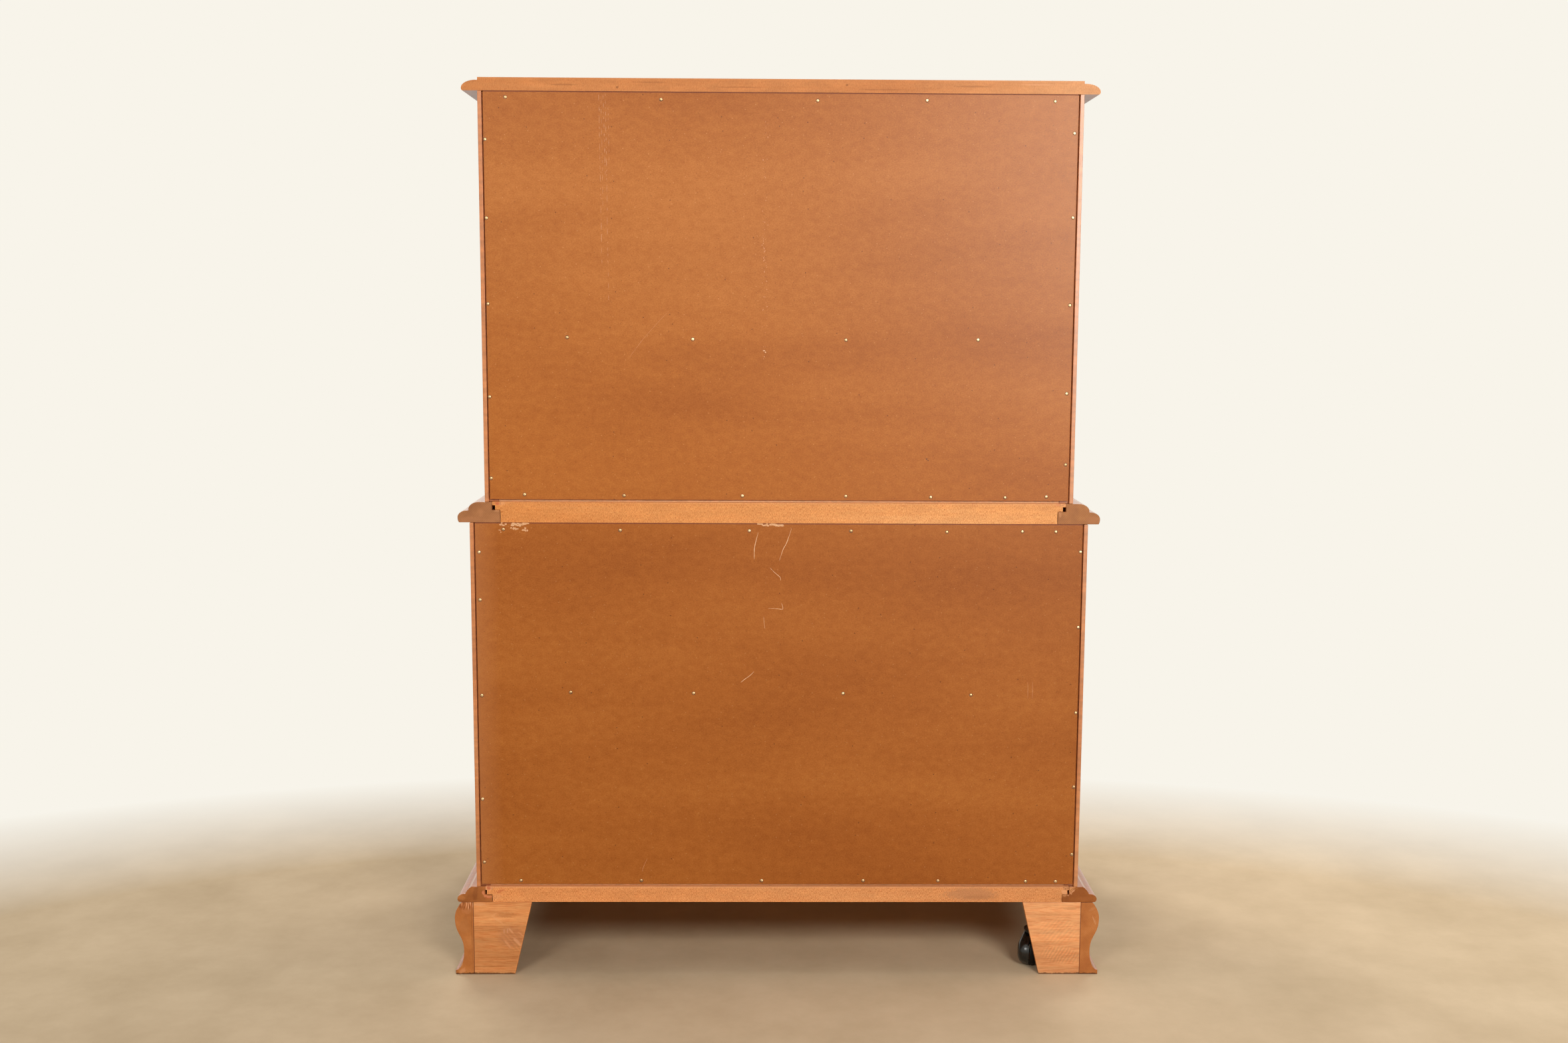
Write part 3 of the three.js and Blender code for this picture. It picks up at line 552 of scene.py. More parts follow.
def foot_end(hand):
    """The sawn end of an ogee bracket: duller than the show faces, with fine growth lines and worn spots."""
    material, shader, coordinates = finish(f"foot end {hand}")
    pattern = specks(material, coordinates, 22.22, 5.0, 0.6)
    stops = [(0.3, "#aa642e"), (0.5, "#ba7137"), (0.7, "#c88044")]
    colour = add(material, "ValToRGB", {"Fac": pattern}, stops).outputs["Color"]
    lines = ripples(material, coordinates, 2.2, {"left": -40, "right": 12}[hand], 3.0)
    colour = shaded(material, colour, lines, (0.0, 1.0), (0.965, 1.03))
    colour = spotted(material, coordinates, colour, foot_end_spots[hand])
    if hand == "right":
        # The saw tore the fibres out at the bracket's top
        comb = streaks(material, coordinates, "z", 22, 1.9, (0.3, 0, 0), 3.0, 0.6)
        stops = [(0.36, "#6e3212"), (0.46, "#a9622f"), (0.54, "#cf8450"), (0.62, "#f0b68c")]
        torn = add(material, "ValToRGB", {"Fac": comb}, stops).outputs["Color"]
        spot = zone(material, coordinates, (458, 107), (14, 7), 0, 0.9, 1.0)
        colour = layered(material, colour, (spot, torn))
    colour = painted_foot_shadow(material, coordinates, colour)
    surface(material, shader, colour, pattern, 0.04, 0.6, 0.08, ior=1.3)
    return material


def foot_board_wood(hand, shift):
    """The slanted back board of a foot: two glued strips, level grain, curl in slanted dashes, dark seams."""
    material, shader, coordinates = finish(f"foot board maple {hand}")
    grain, fibre = maple_grain(material, coordinates, "x", foot_wood[hand], (shift, 0, 0.1), 0.1)
    colour = layered(material, grain, (0.5, linear(foot_wood[hand][1])))
    bands = streaks(material, coordinates, "x", 90, 9, (shift, 0, 0.3), 4.0, 0.6)
    colour = shaded(material, colour, bands, (0.35, 0.65), (0.87, 1.08))
    lines = streaks(material, coordinates, "x", 17, 1.1, (shift, 0, 0.6), 4.0, 0.65)
    colour = tinted(material, colour, lines, [(0.34, "#e6bb9e"), (0.5, "#faefe6"), (0.62, "#ffffff")], 0.75)
    # The seam between the strips is ragged, with a thin dark line of glue
    place = add(material, "SeparateXYZ", {0: coordinates}).outputs
    seam, below, above, glue = foot_strips[hand]
    torn = specks(material, coordinates, 9.09, 4.0)
    height = add(material, "Math", {0: torn, 1: 1.6 * mm, 2: place["Z"]}, operation="MULTIPLY_ADD").outputs[0]
    colour = shaded(material, colour, height, ((seam + 0.4) * mm, (seam + 1.2) * mm), (below, above))
    off = add(material, "Math", {0: height, 1: -(seam + 0.8) * mm}, operation="ADD").outputs[0]
    off = add(material, "Math", {0: off}, operation="ABSOLUTE").outputs[0]
    colour = shaded(material, colour, off, (0.1 * mm, 0.7 * mm), (glue, 1.0))
    for middle, half, lean, pitch, tilt, depth in foot_curl[hand]:
        wave = ripples(material, coordinates, pitch, tilt, 3.2)
        spot = zone(material, coordinates, middle, half, lean, 1.0, 0.8)
        colour = shaded(material, colour, wave, (0.0, 1.0), (1.0 - depth, 1.0 + depth), spot)
    colour = spotted(material, coordinates, colour, foot_board_spots[hand])
    # The pale arris along the slanted edge
    out = add(material, "Math", {0: place["X"]}, operation="ABSOLUTE").outputs[0]
    inputs = {0: place["Z"], 1: board_slant, 2: out}
    inside = add(material, "Math", inputs, operation="MULTIPLY_ADD").outputs[0]
    edge = lower_half + (foot_inner_out - board_foot_width) * mm
    colour = shaded(material, colour, inside, (edge + 0.6 * mm, edge + 1.2 * mm), (1.12, 1.0))
    # The dark seam where the board meets the bracket
    joint = lower_half + foot_inner_out * mm
    near, far = joint - 1.3 * mm, joint - 0.7 * mm
    inputs = {"Value": out, "From Min": near, "From Max": far, "To Min": 0.0, "To Max": 0.85}
    dark = add(material, "MapRange", inputs).outputs[0]
    colour = layered(material, colour, (dark, linear("#5a2408")))
    colour = painted_foot_shadow(material, coordinates, colour)
    surface(material, shader, colour, fibre, 0.03, 0.6, 0.06, ior=1.3)
    return material


upper_board = hardboard("upper", upper_fibre, (0.2, 0, 0), [(0.1, "#fffae8"), (0.6, "#ffffff")])
lower_board = hardboard("lower", lower_fibre_and_shade, (1.7, 0, 0.4), [(0, "#fffffa"), (1, "#ffffff")], 0.25)
drawer_bottom = maple("drawer bottom ply", "x", bare_wood, (0.6, 0.2, 0.9), 0.1, 0.0, 0.65)
pull_brass = brass("antiqued brass", ("#6b4a20", "#a67c3c", "#c79f5c"), 0.34)
nail_brass = brass("nail head", ("#90704a", "#c6a477", "#e3cba6"), 0.42)
hood_nylon = hard_plastic("black nylon hood", ("#141413", "#1e1d1b", "#4a4741"), 0.24, 1.5)
# The ball's nylon is darker than the hood's: painted shade, for the ball half that lies in shade
shaded_ball_nylon = hard_plastic("black nylon ball with painted shade", ("#0c0c0b", "#141312", "#24221f"), 0.45, 1.3)
bare_fibre = bared("bared fibre", ("#d2925c", "#efc296"))
scratch_fibre = bared("scratched fibre", ("#e0a878", "#f3cda6"))
line_fibre = bared("rubbed line", ("#cc9068", "#deb08a"))
faint_fibre = bared("rubbed fibre", ("#cc8a5a", "#d69a6c"))
# Dark fibre for a real fleck, and also the painted shade round the nail heads
dark_fleck_and_shade = bared("dark fleck and painted shade", ("#40200f", "#6a3418"))
# Dark brown for the strips in the seams of the back: painted shade in the gaps
seam_shade = bared("painted seam shade", ("#6e2f10", "#8a4218"))

# Marks at the joints, each as (x, z), half sizes, lean, colour and share
moulding_ends = {
    ("waist", "right"): end_grain("waist right", ("#935f39", "#a26b41", "#b2784c"), 0.13, [
        ((440, 675), (16, 5), 0, "#b57a50", 0.5), ((402, 688.6), (4, 0.9), 0, peach, 0.4),
    ]),
    ("waist", "left"): end_grain("waist left", ("#9d653a", "#ac7142", "#b9814e"), 0.14, [
        ((-402, 690.6), (4, 0.9), 0, peach, 0.5), ((-400.5, 687), (1.6, 5), 0, "#cf9266", 0.5),
        ((-448, 678), (9, 5), 0, "#b87a50", 0.4),
    ]),
    ("base", "right"): end_grain("base right", ("#9a5a28", "#ab6630", "#ba743c"), 0.03, [
        ((443, 124), (3.2, 12), -8, umber, 0.42), ((450, 117), (9, 4), 0, "#8a4a1c", 0.3),
        ((462, 113), (12, 2.4), 0, "#8a4a1c", 0.45), ((466, 118.5), (8, 3.5), -20, "#c07a40", 0.5),
        ((431.3, 124.6), (2.0, 3.0), 0, salmon, 0.85), ((428.2, 120.2), (2.6, 2.0), 30, salmon, 0.85),
        ((422.8, 118.7), (4.0, 1.5), 0, salmon, 0.85), ((424, 116.6), (4.5, 0.7), 0, rust, 0.5),
    ]),
    ("base", "left"): end_grain("base left", ("#864716", "#97541f", "#a86328"), 0.03, [
        ((-428, 130.5), (13, 5.2), 45, "#d4925c", 0.9), ((-424, 132.5), (12, 2.2), 0, "#d4925c", 0.85),
        ((-433, 131), (2.2, 0.5), 30, umber, 0.6), ((-430.5, 128), (1.6, 0.4), -40, umber, 0.6),
        ((-434.5, 127.5), (3.5, 1.0), 45, peach, 0.7), ((-431, 124.5), (1.1, 2.2), 30, peach, 0.6),
        ((-427, 121.5), (1.0, 1.6), 30, peach, 0.5), ((-452, 116), (9, 3), 0, "#a5602c", 0.5),
    ]),
}
top_edge_spots = [
    ((300, 1279), (16, 1.1), 0, umber, 0.35), ((182, 1283), (22, 0.8), 0, umber, 0.3),
    ((60, 1277), (26, 0.9), 0, umber, 0.3), ((-90, 1281), (1.6, 1.2), 0, umber, 0.6),
    ((-140, 1275), (30, 0.9), 0, umber, 0.3), ((-265, 1280), (24, 1.2), 0, umber, 0.3),
    ((226, 1276), (1.8, 1.3), 0, umber, 0.6), ((-352, 1283), (20, 1.1), 0, peach, 0.4),
]
waist_rail_spots = [
    ((396.7, 680.5), (0.5, 8), 0, "#4a2410", 0.85), ((-396.7, 680.5), (0.5, 8), 0, "#4a2410", 0.85),
    ((400.8, 698.8), (3.6, 2.0), 0, rust, 0.75), ((396.6, 699), (0.35, 2.2), 0, umber, 0.8),
    ((394, 699), (5, 2.2), 10, "#efae7c", 0.35), ((-404, 700), (7, 3), 0, peach, 0.4),
    ((-399.8, 699.5), (0.4, 2.6), 0, umber, 0.6), ((-404, 699.3), (3.4, 0.4), 25, umber, 0.5),
    ((-397, 700.2), (3.5, 2.0), 30, "#dc8a5c", 0.6),
]
base_rail_spots = [
    ((-284, 123), (36, 9), 0, "#b98057", 0.6), ((-296, 118), (22, 3), 0, "#a96d42", 0.3),
    ((418.0, 116), (0.5, 4.6), 0, "#4a2410", 0.85), ((-418.0, 116), (0.4, 4.6), 0, "#6a3a1c", 0.5),
    ((423, 131.6), (5.5, 3), 0, peach, 0.7), ((423.3, 132), (2.8, 2.2), 0, rust, 0.8),
    ((418.4, 130.6), (0.35, 2.6), 0, umber, 0.6), ((406, 127.4), (6, 1.7), 21, rust, 0.55),
    ((412, 119), (7, 4), 0, "#eaa878", 0.2), ((-425, 131.4), (6, 2.6), 0, "#c98a5a", 0.7),
    ((-421.5, 126), (4, 3), 0, peach, 0.7), ((-423, 131), (1.2, 0.8), 0, umber, 0.6),
    ((-427, 132.4), (1.2, 0.8), 0, umber, 0.6), ((-420.5, 133), (0.8, 0.6), 0, umber, 0.6),
]
foot_end_spots = {
    "right": [
        ((456, 100), (8, 7), 0, "#c98250", 0.4), ((457, 109.6), (10, 0.9), 0, umber, 0.7),
        ((449.0, 60), (0.7, 48), 0, umber, 0.3),
        ((460, 74), (7, 12), 0, "#b27340", 0.35), ((464, 5), (5, 3), 40, "#dc9a68", 0.5),
        ((467, 12), (4, 1.0), 45, "#dc9a68", 0.4), ((473, 7), (2, 4), 0, umber, 0.35),
    ],
    "left": [
        ((-466, 84), (0.8, 6), 20, "#d39a68", 0.6), ((-468.5, 80), (0.6, 4), 10, "#d39a68", 0.5),
        ((-455, 20), (8, 14), 0, "#a9622e", 0.35), ((-463, 100), (5, 2), 30, "#c98a58", 0.3),
    ],
}
foot_board_spots = {
    "left": [((-431, 101), (9, 2.4), 0, "#b9703a", 0.3), ((-398, 92), (20, 2), 0, "#c98048", 0.3)],
    "right": [
        ((391, 58), (19, 15), 0, "#b27550", 0.4), ((399, 91), (13, 3.6), 0, "#b26c38", 0.45),
        ((411, 83), (10, 1.6), -38, "#eaa76f", 0.5), ((417, 91), (5, 1.3), 28, "#eaa76f", 0.4),
        ((383, 50), (8, 2.2), -48, "#efb080", 0.45), ((397, 46), (8, 1.6), -52, "#e8a774", 0.4),
        ((392, 67), (5, 1.3), -50, "#efb080", 0.4), ((378, 62), (5, 1.2), -40, "#e8a774", 0.35),
        ((402, 66), (0.8, 3), 0, "#e3a987", 0.4), ((397, 67), (0.8, 3.4), 0, "#e3a987", 0.4),
        ((415, 62), (9, 1.3), -3, "#e39a62", 0.4), ((425, 12), (30, 1.2), 0, "#b5703c", 0.5),
        ((405, 26), (34, 1.5), 0, "#b5703c", 0.45), ((415, 19), (28, 1.0), 0, "#b5703c", 0.4),
        ((437, 107), (9, 2), 0, "#e9a877", 0.5),
    ],
}

# A foot board's two strips: the height of their seam, the tones below and above it, and the glue's tone
foot_strips = {"left": (48.4, 0.93, 1.05, 0.95), "right": (73.9, 0.95, 1.1, 0.84)}

# Patches of curl on the foot boards: middle, half sizes, lean, then pitch, tilt and depth of the waves
foot_curl = {
    "left": [((-418, 30), (27, 12), -8, 4.4, 30, 0.1), ((-414, 66), (26, 20), 0, 5.0, 40, 0.05)],
    "right": [((390, 52), (18, 12), -50, 5.0, -42, 0.08), ((415, 48), (12, 5), 0, 1.1, 0, 0.05)],
}


# Making meshes


def section(points, across, at):
    """A flat face from points drawn in the plane that lies across an axis."""
    bm = bmesh.new()
    order = {"x": lambda u, v: (at, u, v), "y": lambda u, v: (u, at, v), "z": lambda u, v: (u, v, at)}[across]
    bm.faces.new([bm.verts.new(order(u, v)) for u, v in points])
    return bm


def bar(points, across, start, end):
    """A solid bar: the section drawn across an axis, pulled from start to end along it."""
    bm = section(points, across, start)
    pulled = bmesh.ops.extrude_face_region(bm, geom=bm.faces[:])
    moved = [part for part in pulled["geom"] if isinstance(part, bmesh.types.BMVert)]
    step = Vector([end - start if axis == across else 0 for axis in "xyz"])
    bmesh.ops.translate(bm, vec=step, verts=moved)
    bmesh.ops.recalc_face_normals(bm, faces=bm.faces)
    return bm


def mitre(bm, corner, normal, keep_front):
    """Cuts a bar through at a mitre plane and closes the cut."""
    everything = bm.verts[:] + bm.edges[:] + bm.faces[:]
    cut = bmesh.ops.bisect_plane(
        bm,
        geom=everything,
        plane_co=corner,
        plane_no=normal,
        clear_inner=keep_front,
        clear_outer=not keep_front,
    )
    edges = [part for part in cut["geom_cut"] if isinstance(part, bmesh.types.BMEdge)]
    bmesh.ops.edgeloop_fill(bm, edges=edges)
    bmesh.ops.recalc_face_normals(bm, faces=bm.faces)


def block(low, high):
    """A rectangular solid between two corners."""
    bm = bmesh.new()
    bmesh.ops.create_cube(bm, size=1.0)
    size = [b - a for a, b in zip(low, high)]
    middle = [(a + b) / 2 for a, b in zip(low, high)]
    bmesh.ops.scale(bm, vec=size, verts=bm.verts)
    bmesh.ops.translate(bm, vec=middle, verts=bm.verts)
    return bm


def spun(points, steps=48):
    """A turned solid: (radius, height) points in mm, spun about Z and closed at the axis."""
    bm = bmesh.new()
    verts = [bm.verts.new((radius * mm, 0, height * mm)) for radius, height in points]
    edges = [bm.edges.new(pair) for pair in zip(verts, verts[1:])]
    bmesh.ops.spin(
        bm, geom=verts + edges, cent=(0, 0, 0), axis=(0, 0, 1), angle=math.tau, steps=steps, use_merge=True
    )
    bmesh.ops.remove_doubles(bm, verts=bm.verts, dist=merge_distance * mm)
    bmesh.ops.recalc_face_normals(bm, faces=bm.faces)
    return bm


def joined(parts):
    """Several bmeshes as one."""
    bm = bmesh.new()
    for part in parts:
        mesh = bpy.data.meshes.new("part")
        part.to_mesh(mesh)
        part.free()
        bm.from_mesh(mesh)
        bpy.data.meshes.remove(mesh)
    return bm


def temporary(bm):
    """A linked object for a tool to work on."""
    mesh = bpy.data.meshes.new("tool")
    bm.to_mesh(mesh)
    bm.free()
    tool = bpy.data.objects.new("tool", mesh)
    scene.collection.objects.link(tool)
    return tool


def sawn(bm, cutters, how="DIFFERENCE"):
    """What a saw or a drill leaves of a solid, or what joins to it."""
    work = temporary(bm)
    tools = [temporary(cutter) for cutter in cutters]
    for tool in tools:
        modifier = work.modifiers.new("cut", "BOOLEAN")
        modifier.operation = how
        modifier.object = tool
        modifier.solver = "EXACT"
    bpy.context.view_layer.update()
    shaped = work.evaluated_get(bpy.context.evaluated_depsgraph_get())
    result = bmesh.new()
    result.from_mesh(shaped.to_mesh())
    shaped.to_mesh_clear()
    for tool in [work, *tools]:
        mesh = tool.data
        bpy.data.objects.remove(tool)
        bpy.data.meshes.remove(mesh)
    bmesh.ops.remove_doubles(result, verts=result.verts, dist=merge_distance * mm)
    return result


def piece(name, bm, materials, body, replaces=(), soft=0.0, smooth=35):
    """Turns a bmesh into a named piece that rides on a body, with softened arrises where soft is given."""
    mesh = bpy.data.meshes.new(name)
    bm.to_mesh(mesh)
    bm.free()
    for material in materials:
        mesh.materials.append(material)
    mesh.polygons.foreach_set("use_smooth", [True] * len(mesh.polygons))
    mesh.set_sharp_from_angle(angle=math.radians(smooth))
    made_piece = bpy.data.objects.new(name, mesh)
    scene.collection.objects.link(made_piece)
    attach(made_piece, body)
    if replaces:
        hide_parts(*replaces)
    if soft:
        soften(made_piece, soft)
    return made_piece


def soften(thing, width):
    """Sanded arrises: a small rounded bevel on every sharp edge, width in mm."""
    modifier = thing.modifiers.new("sanded", "BEVEL")
    modifier.width = width * mm
    modifier.segments = 2
    modifier.profile = 0.5
    modifier.limit_method = "ANGLE"
    modifier.angle_limit = math.radians(40)
    modifier.harden_normals = True


def end_faces(bm, direction):
    """Gives the faces that look one way the piece's second material, such as end grain."""
    way = Vector(direction)
    for face in bm.faces:
        face.normal_update()
        if face.normal.dot(way) > 0.99:
            face.material_index = 1


def turn_and_set(bm, turn, where):
    """Turns a shape about the origin and sets it in its place."""
    bmesh.ops.rotate(bm, cent=(0, 0, 0), matrix=turn, verts=bm.verts)
    bmesh.ops.translate(bm, vec=where, verts=bm.verts)


def stepped(stations):
    """A solid that steps from one rectangle to the next: each station is its four corners."""
    bm = bmesh.new()
    first = face = bm.faces.new([bm.verts.new(corner) for corner in stations[0]])
    for corners in stations[1:]:
        pulled = bmesh.ops.extrude_face_region(bm, geom=[face])["geom"]
        if face is not first:
            bm.faces.remove(face)
        face = next(part for part in pulled if isinstance(part, bmesh.types.BMFace))
        for vert, corner in zip(face.verts, corners):
            vert.co = corner
    bmesh.ops.recalc_face_normals(bm, faces=bm.faces)
    return bm


def arc(centre, radii, start, end, steps=10):
    """Points of an elliptical arc, angles in degrees."""
    angles = [math.radians(start + (end - start) * i / steps) for i in range(steps + 1)]
    return [(centre[0] + radii[0] * math.cos(a), centre[1] + radii[1] * math.sin(a)) for a in angles]


def curve(points, steps=12):
    """Points of a Bezier curve of any order through its control points."""
    result = []
    for i in range(steps + 1):
        t = i / steps
        row = [Vector(p) for p in points]
        while len(row) > 1:
            row = [a.lerp(b, t) for a, b in zip(row, row[1:])]
        result.append(tuple(row[0]))
    return result


def without_repeats(points):
    """Drops each point that lies on the one before it."""
    kept = [points[0]]
    for point in points[1:]:
        if math.dist(point, kept[-1]) > 1e-4:
            kept.append(point)
    return kept


# Mouldings


def moulded_edge(m):
    """The moulded edge from its underside to the flat top, as (out, up) in mm."""
    nose, step = m["nose_height"], m["step_height"]
    points = arc((m["nose_out"] - m["under_round"], nose), (m["under_round"], nose), -90, 0)
    cove = (m["nose_out"] - m["shoulder_out"], m["shoulder_height"] - nose)
    points += arc((m["shoulder_out"], nose), cove, 0, 90, 16)
    points += [(m["step_out"], m["shoulder_height"]), (m["step_out"], step)]
    if m["flat_out"] < m["step_out"]:
        width, height = m["step_out"] - m["flat_out"], m["thickness"] - step
        if m["bulge"] == 1:
            points += arc((m["flat_out"], step), (width, height), 0, 90)
        else:
            pull = (m["step_out"] - width * (1 - m["bulge"]) / 2, step + height * (1 + m["bulge"]) / 2)
            points += curve([(m["step_out"], step), pull, (m["flat_out"], m["thickness"])])
    return without_repeats(points)


def member_section(m):
    """A moulded member from its end: its edge, and the lip that carries the back rail."""
    inner = m["nose_out"] - m["member"]
    reach = inner + m["lip_reach"]
    lip = [(reach, m["thickness"]), (reach, m["lip_height"]), (inner, m["lip_height"])]
    return [*moulded_edge(m), *lip, (inner, 0)]


def moulded_frame(m, label):
    """The front and side members, mitred at the front corners; the sides show their end grain at the back."""
    points = member_section(m)
    low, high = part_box(m["node"])
    z, rise = low.z, high.z - low.z
    for side, hand in ((-1, "left"), (1, "right")):
        drawn = [(side * (lower_half + out * mm), z + up / m["thickness"] * rise) for out, up in points]
        member = bar(drawn, "y", back, lower_front - m["nose_out"] * mm)
        mitre(member, (side * lower_half, lower_front + mitre_gap * mm, 0), (side, 1, 0), True)
        end_faces(member, (0, 1, 0))
        wood = maple(f"stained maple {label} {hand}", "y", show_wood, (side * 0.4, 0, z))
        woods = [wood, moulding_ends[label, hand]]
        piece(f"{label}_side_{hand}", member, woods, "case", [m["node"]], 0.5)
    drawn = [(lower_front - out * mm, z + up / m["thickness"] * rise) for out, up in points]
    reach = lower_half + m["nose_out"] * mm
    member = bar(drawn, "x", -reach, reach)
    for side in (-1, 1):
        mitre(member, (side * lower_half, lower_front - mitre_gap * mm, 0), (side, 1, 0), False)
    wood = maple(f"stained maple {label} front", "x", show_wood, (0, 0, z))
    piece(f"{label}_front", member, [wood], "case", [m["node"]], 0.4)


def top_board():
    """The top: edge-glued boards with a moulded edge on three sides and a square back edge."""
    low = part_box("top_board")[0].z
    stations = []
    for out, up in moulded_edge(top):
        x, y, z = upper_half + out * mm, upper_front - out * mm, low + up * mm
        stations.append([(-x, back, z), (x, back, z), (x, y, z), (-x, y, z)])
    bm = stepped(stations)
    end_faces(bm, (0, 1, 0))
    # The top edge pales towards its -x end: a painted sheen
    tints = [(0, "#ffffff"), (0.12, "#f6ebd9"), (0.3, "#e3caa6"), (1, "#e8d2b1")]
    edge = rail_finish("top_board", top_edge_wood, (0.1, 0, 0), tints, top_edge_spots, (0.88, 1.08), 0.4)
    piece("top_boards", bm, [top_wood(), edge], "case", ["top_board"], 0.4)


# Feet


def foot_section():
    """The ogee from its pad to its seat, as (out, up) in mm: toe, hollow neck and full swell."""
    high = foot_height - seat_gap
    pull = (swell_height - neck_height) / 2
    points = [(foot_inner_out, 0), (foot_toe_out, 0), (foot_toe_out, toe_rise)]
    neck = (foot_toe_out - foot_neck_out, neck_height - toe_rise)
    points += arc((foot_toe_out, neck_height), neck, -90, -180, 14)
    swell = [
        (foot_neck_out, neck_height),
        (foot_neck_out, neck_height + pull),
        (foot_swell_out, swell_height - pull),
        (foot_swell_out, swell_height),
    ]
    points += curve(swell, 18)
    shoulder = (foot_swell_out, swell_height + (high - swell_height) / 2)
    points += curve([(foot_swell_out, swell_height), shoulder, (foot_top_out, high)])
    return without_repeats([*points, (foot_inner_out, high)])


def scroll():
    """What is sawn away under a bracket, as (run from the corner, up) in mm."""
    crown = foot_height - bracket_lip
    far = foot_run + saw_past
    cusp = [(pad_run, 0), (pad_run, cusp_height / 2), (cusp_run, cusp_height / 2), (cusp_run, cusp_height)]
    brow = [(cusp_run, cusp_height), (cusp_run, crown), ((cusp_run + foot_run) / 2, crown), (far, crown)]
    points = [(pad_run, -saw_past), *curve(cusp, 16), *curve(brow, 16)]
    return without_repeats([*points, (far, -saw_past)])


def bracket(side, corner_y, toward):
    """A side bracket: an ogee bar from corner_y, running toward the front (-1) or the back (1)."""
    drawn = [(side * (lower_half + out * mm), up * mm) for out, up in foot_section()]
    arm = bar(drawn, "y", corner_y, corner_y + toward * foot_run * mm)
    cut = [(corner_y + toward * run * mm, up * mm) for run, up in scroll()]
    inner, outer = lower_half - saw_past * mm, lower_half + (foot_swell_out + saw_past) * mm
    return sawn(arm, [bar(cut, "x", side * inner, side * outer)])


def back_feet():
    """The ogee brackets at the back, which show their sawn ends."""
    for side, hand in ((-1, "left"), (1, "right")):
        arm = bracket(side, back, -1)
        end_faces(arm, (0, 1, 0))
        node = f"back_foot_{hand}_side"
        wood = maple(f"stained maple {node}", "y", show_wood, (side * 0.7, 0.1, 0))
        piece(f"{node}_bracket", arm, [wood, foot_end(hand)], "case", [node], 0.5)


def front_feet():
    """The front feet: two ogee brackets mitred at the corner, and the block behind them."""
    corner_y = lower_front - foot_swell_out * mm
    outer = lower_half + foot_swell_out * mm
    for side, hand in ((-1, "left"), (1, "right")):
        node = f"front_foot_{hand}"
        arm = bracket(side, corner_y, 1)
        mitre(arm, (side * lower_half, lower_front + mitre_gap * mm, 0), (side, 1, 0), True)
        wood = maple(f"stained maple {node} side", "y", show_wood, (side * 0.9, 0.3, 0))
        piece(f"{node}_side_bracket", arm, [wood], "case", [node], 0.5)
        drawn = [(lower_front - out * mm, up * mm) for out, up in foot_section()]
        ahead = bar(drawn, "x", side * outer, side * (outer - foot_run * mm))
        cut = [(side * (outer - run * mm), up * mm) for run, up in scroll()]
        near, far = lower_front + saw_past * mm, lower_front - (foot_swell_out + saw_past) * mm
        ahead = sawn(ahead, [bar(cut, "y", near, far)])
        mitre(ahead, (side * lower_half, lower_front - mitre_gap * mm, 0), (side, 1, 0), False)
        wood = maple(f"stained maple {node} front", "x", show_wood, (side * 0.5, 0.2, 0))
        piece(f"{node}_front_bracket", ahead, [wood], "case", [node], 0.5)
        wood = maple(f"corner block maple {hand}", "y", bare_wood, (0.2, side * 0.3, 0))
        piece(f"{node}_corner_block", corner_block(side), [wood], "case", [node], 0.6)


def corner_block(side):
    """The block behind a front foot, its lower inner corner planed back, drilled for the caster."""
    foot = stem_height + seat_gap
    inner, toe = stem_x - block_wall * mm, stem_x - block_foot_wall * mm
    knee = (foot + (block_wall - block_foot_wall) / board_slant) * mm
    outer = lower_half + foot_inner_out * mm
    drawn = [(outer, foot * mm), (outer, foot_top), (inner, foot_top), (inner, knee), (toe, foot * mm)]
    ahead = lower_front - foot_inner_out * mm
    wood = bar([(side * x, z) for x, z in drawn], "y", ahead, front_stem + block_back * mm)
    low, high = foot - saw_past, foot + socket_depth
    socket = spun([(0, low), (socket_radius, low), (socket_radius, high), (0, high)], 24)
    turn_and_set(socket, Matrix.Identity(3), Vector((side * stem_x, front_stem, 0)))
    return sawn(wood, [socket])


# Boards that keep their solids


def dress(node, material, soft=0.5):
    """A board keeps its solid, with its arrises sanded and its own wood."""
    thing = nodes[node]
    thing.data.materials.clear()
    thing.data.materials.append(material)
    weld = thing.modifiers.new("weld", "WELD")
    weld.merge_threshold = 0.005 * mm
    soften(thing, soft)


def boards():
    """The sides, back panels, back rails, foot boards and frames."""
    for name, half, seed in (("upper", upper_half, 0.1), ("lower", lower_half, 0.6)):
        for side, hand in ((-1, "left"), (1, "right")):
            dress(f"{name}_side_{hand}", side_wood(name, side, half, seed))
    dress("upper_back_panel", upper_board, 0.3)
    dress("lower_back_panel", lower_board, 0.3)
    # The waist rail pales towards its -x end, a painted sheen; the base rail's tint only cools that end a
    # little
    rails = [
        ("waist_back_rail", rail_wood, (0.3, 0.1, 0.2), [(0, "#ffffff"), (1, "#ecdbc0")], waist_rail_spots),
        ("base_back_rail", base_wood, (0.9, 0.1, 0.6), [(0, "#f4f8ff"), (1, "#ffffff")], base_rail_spots),
    ]
    for node, *look in rails:
        dress(node, rail_finish(node, *look))
    for hand, shift in (("left", 0.2), ("right", 0.8)):
        dress(f"back_foot_{hand}_board", foot_board_wood(hand, shift))
    upper_frames = framing_wood("upper", upper_front)
    lower_frames = framing_wood("lower", lower_front)
    for name in ("bottom", "middle", "open", "top"):
        dress(f"upper_{name}_frame", upper_frames)
    for name in ("bottom", "middle", "top"):
        dress(f"lower_{name}_frame", lower_frames)


# Drawers


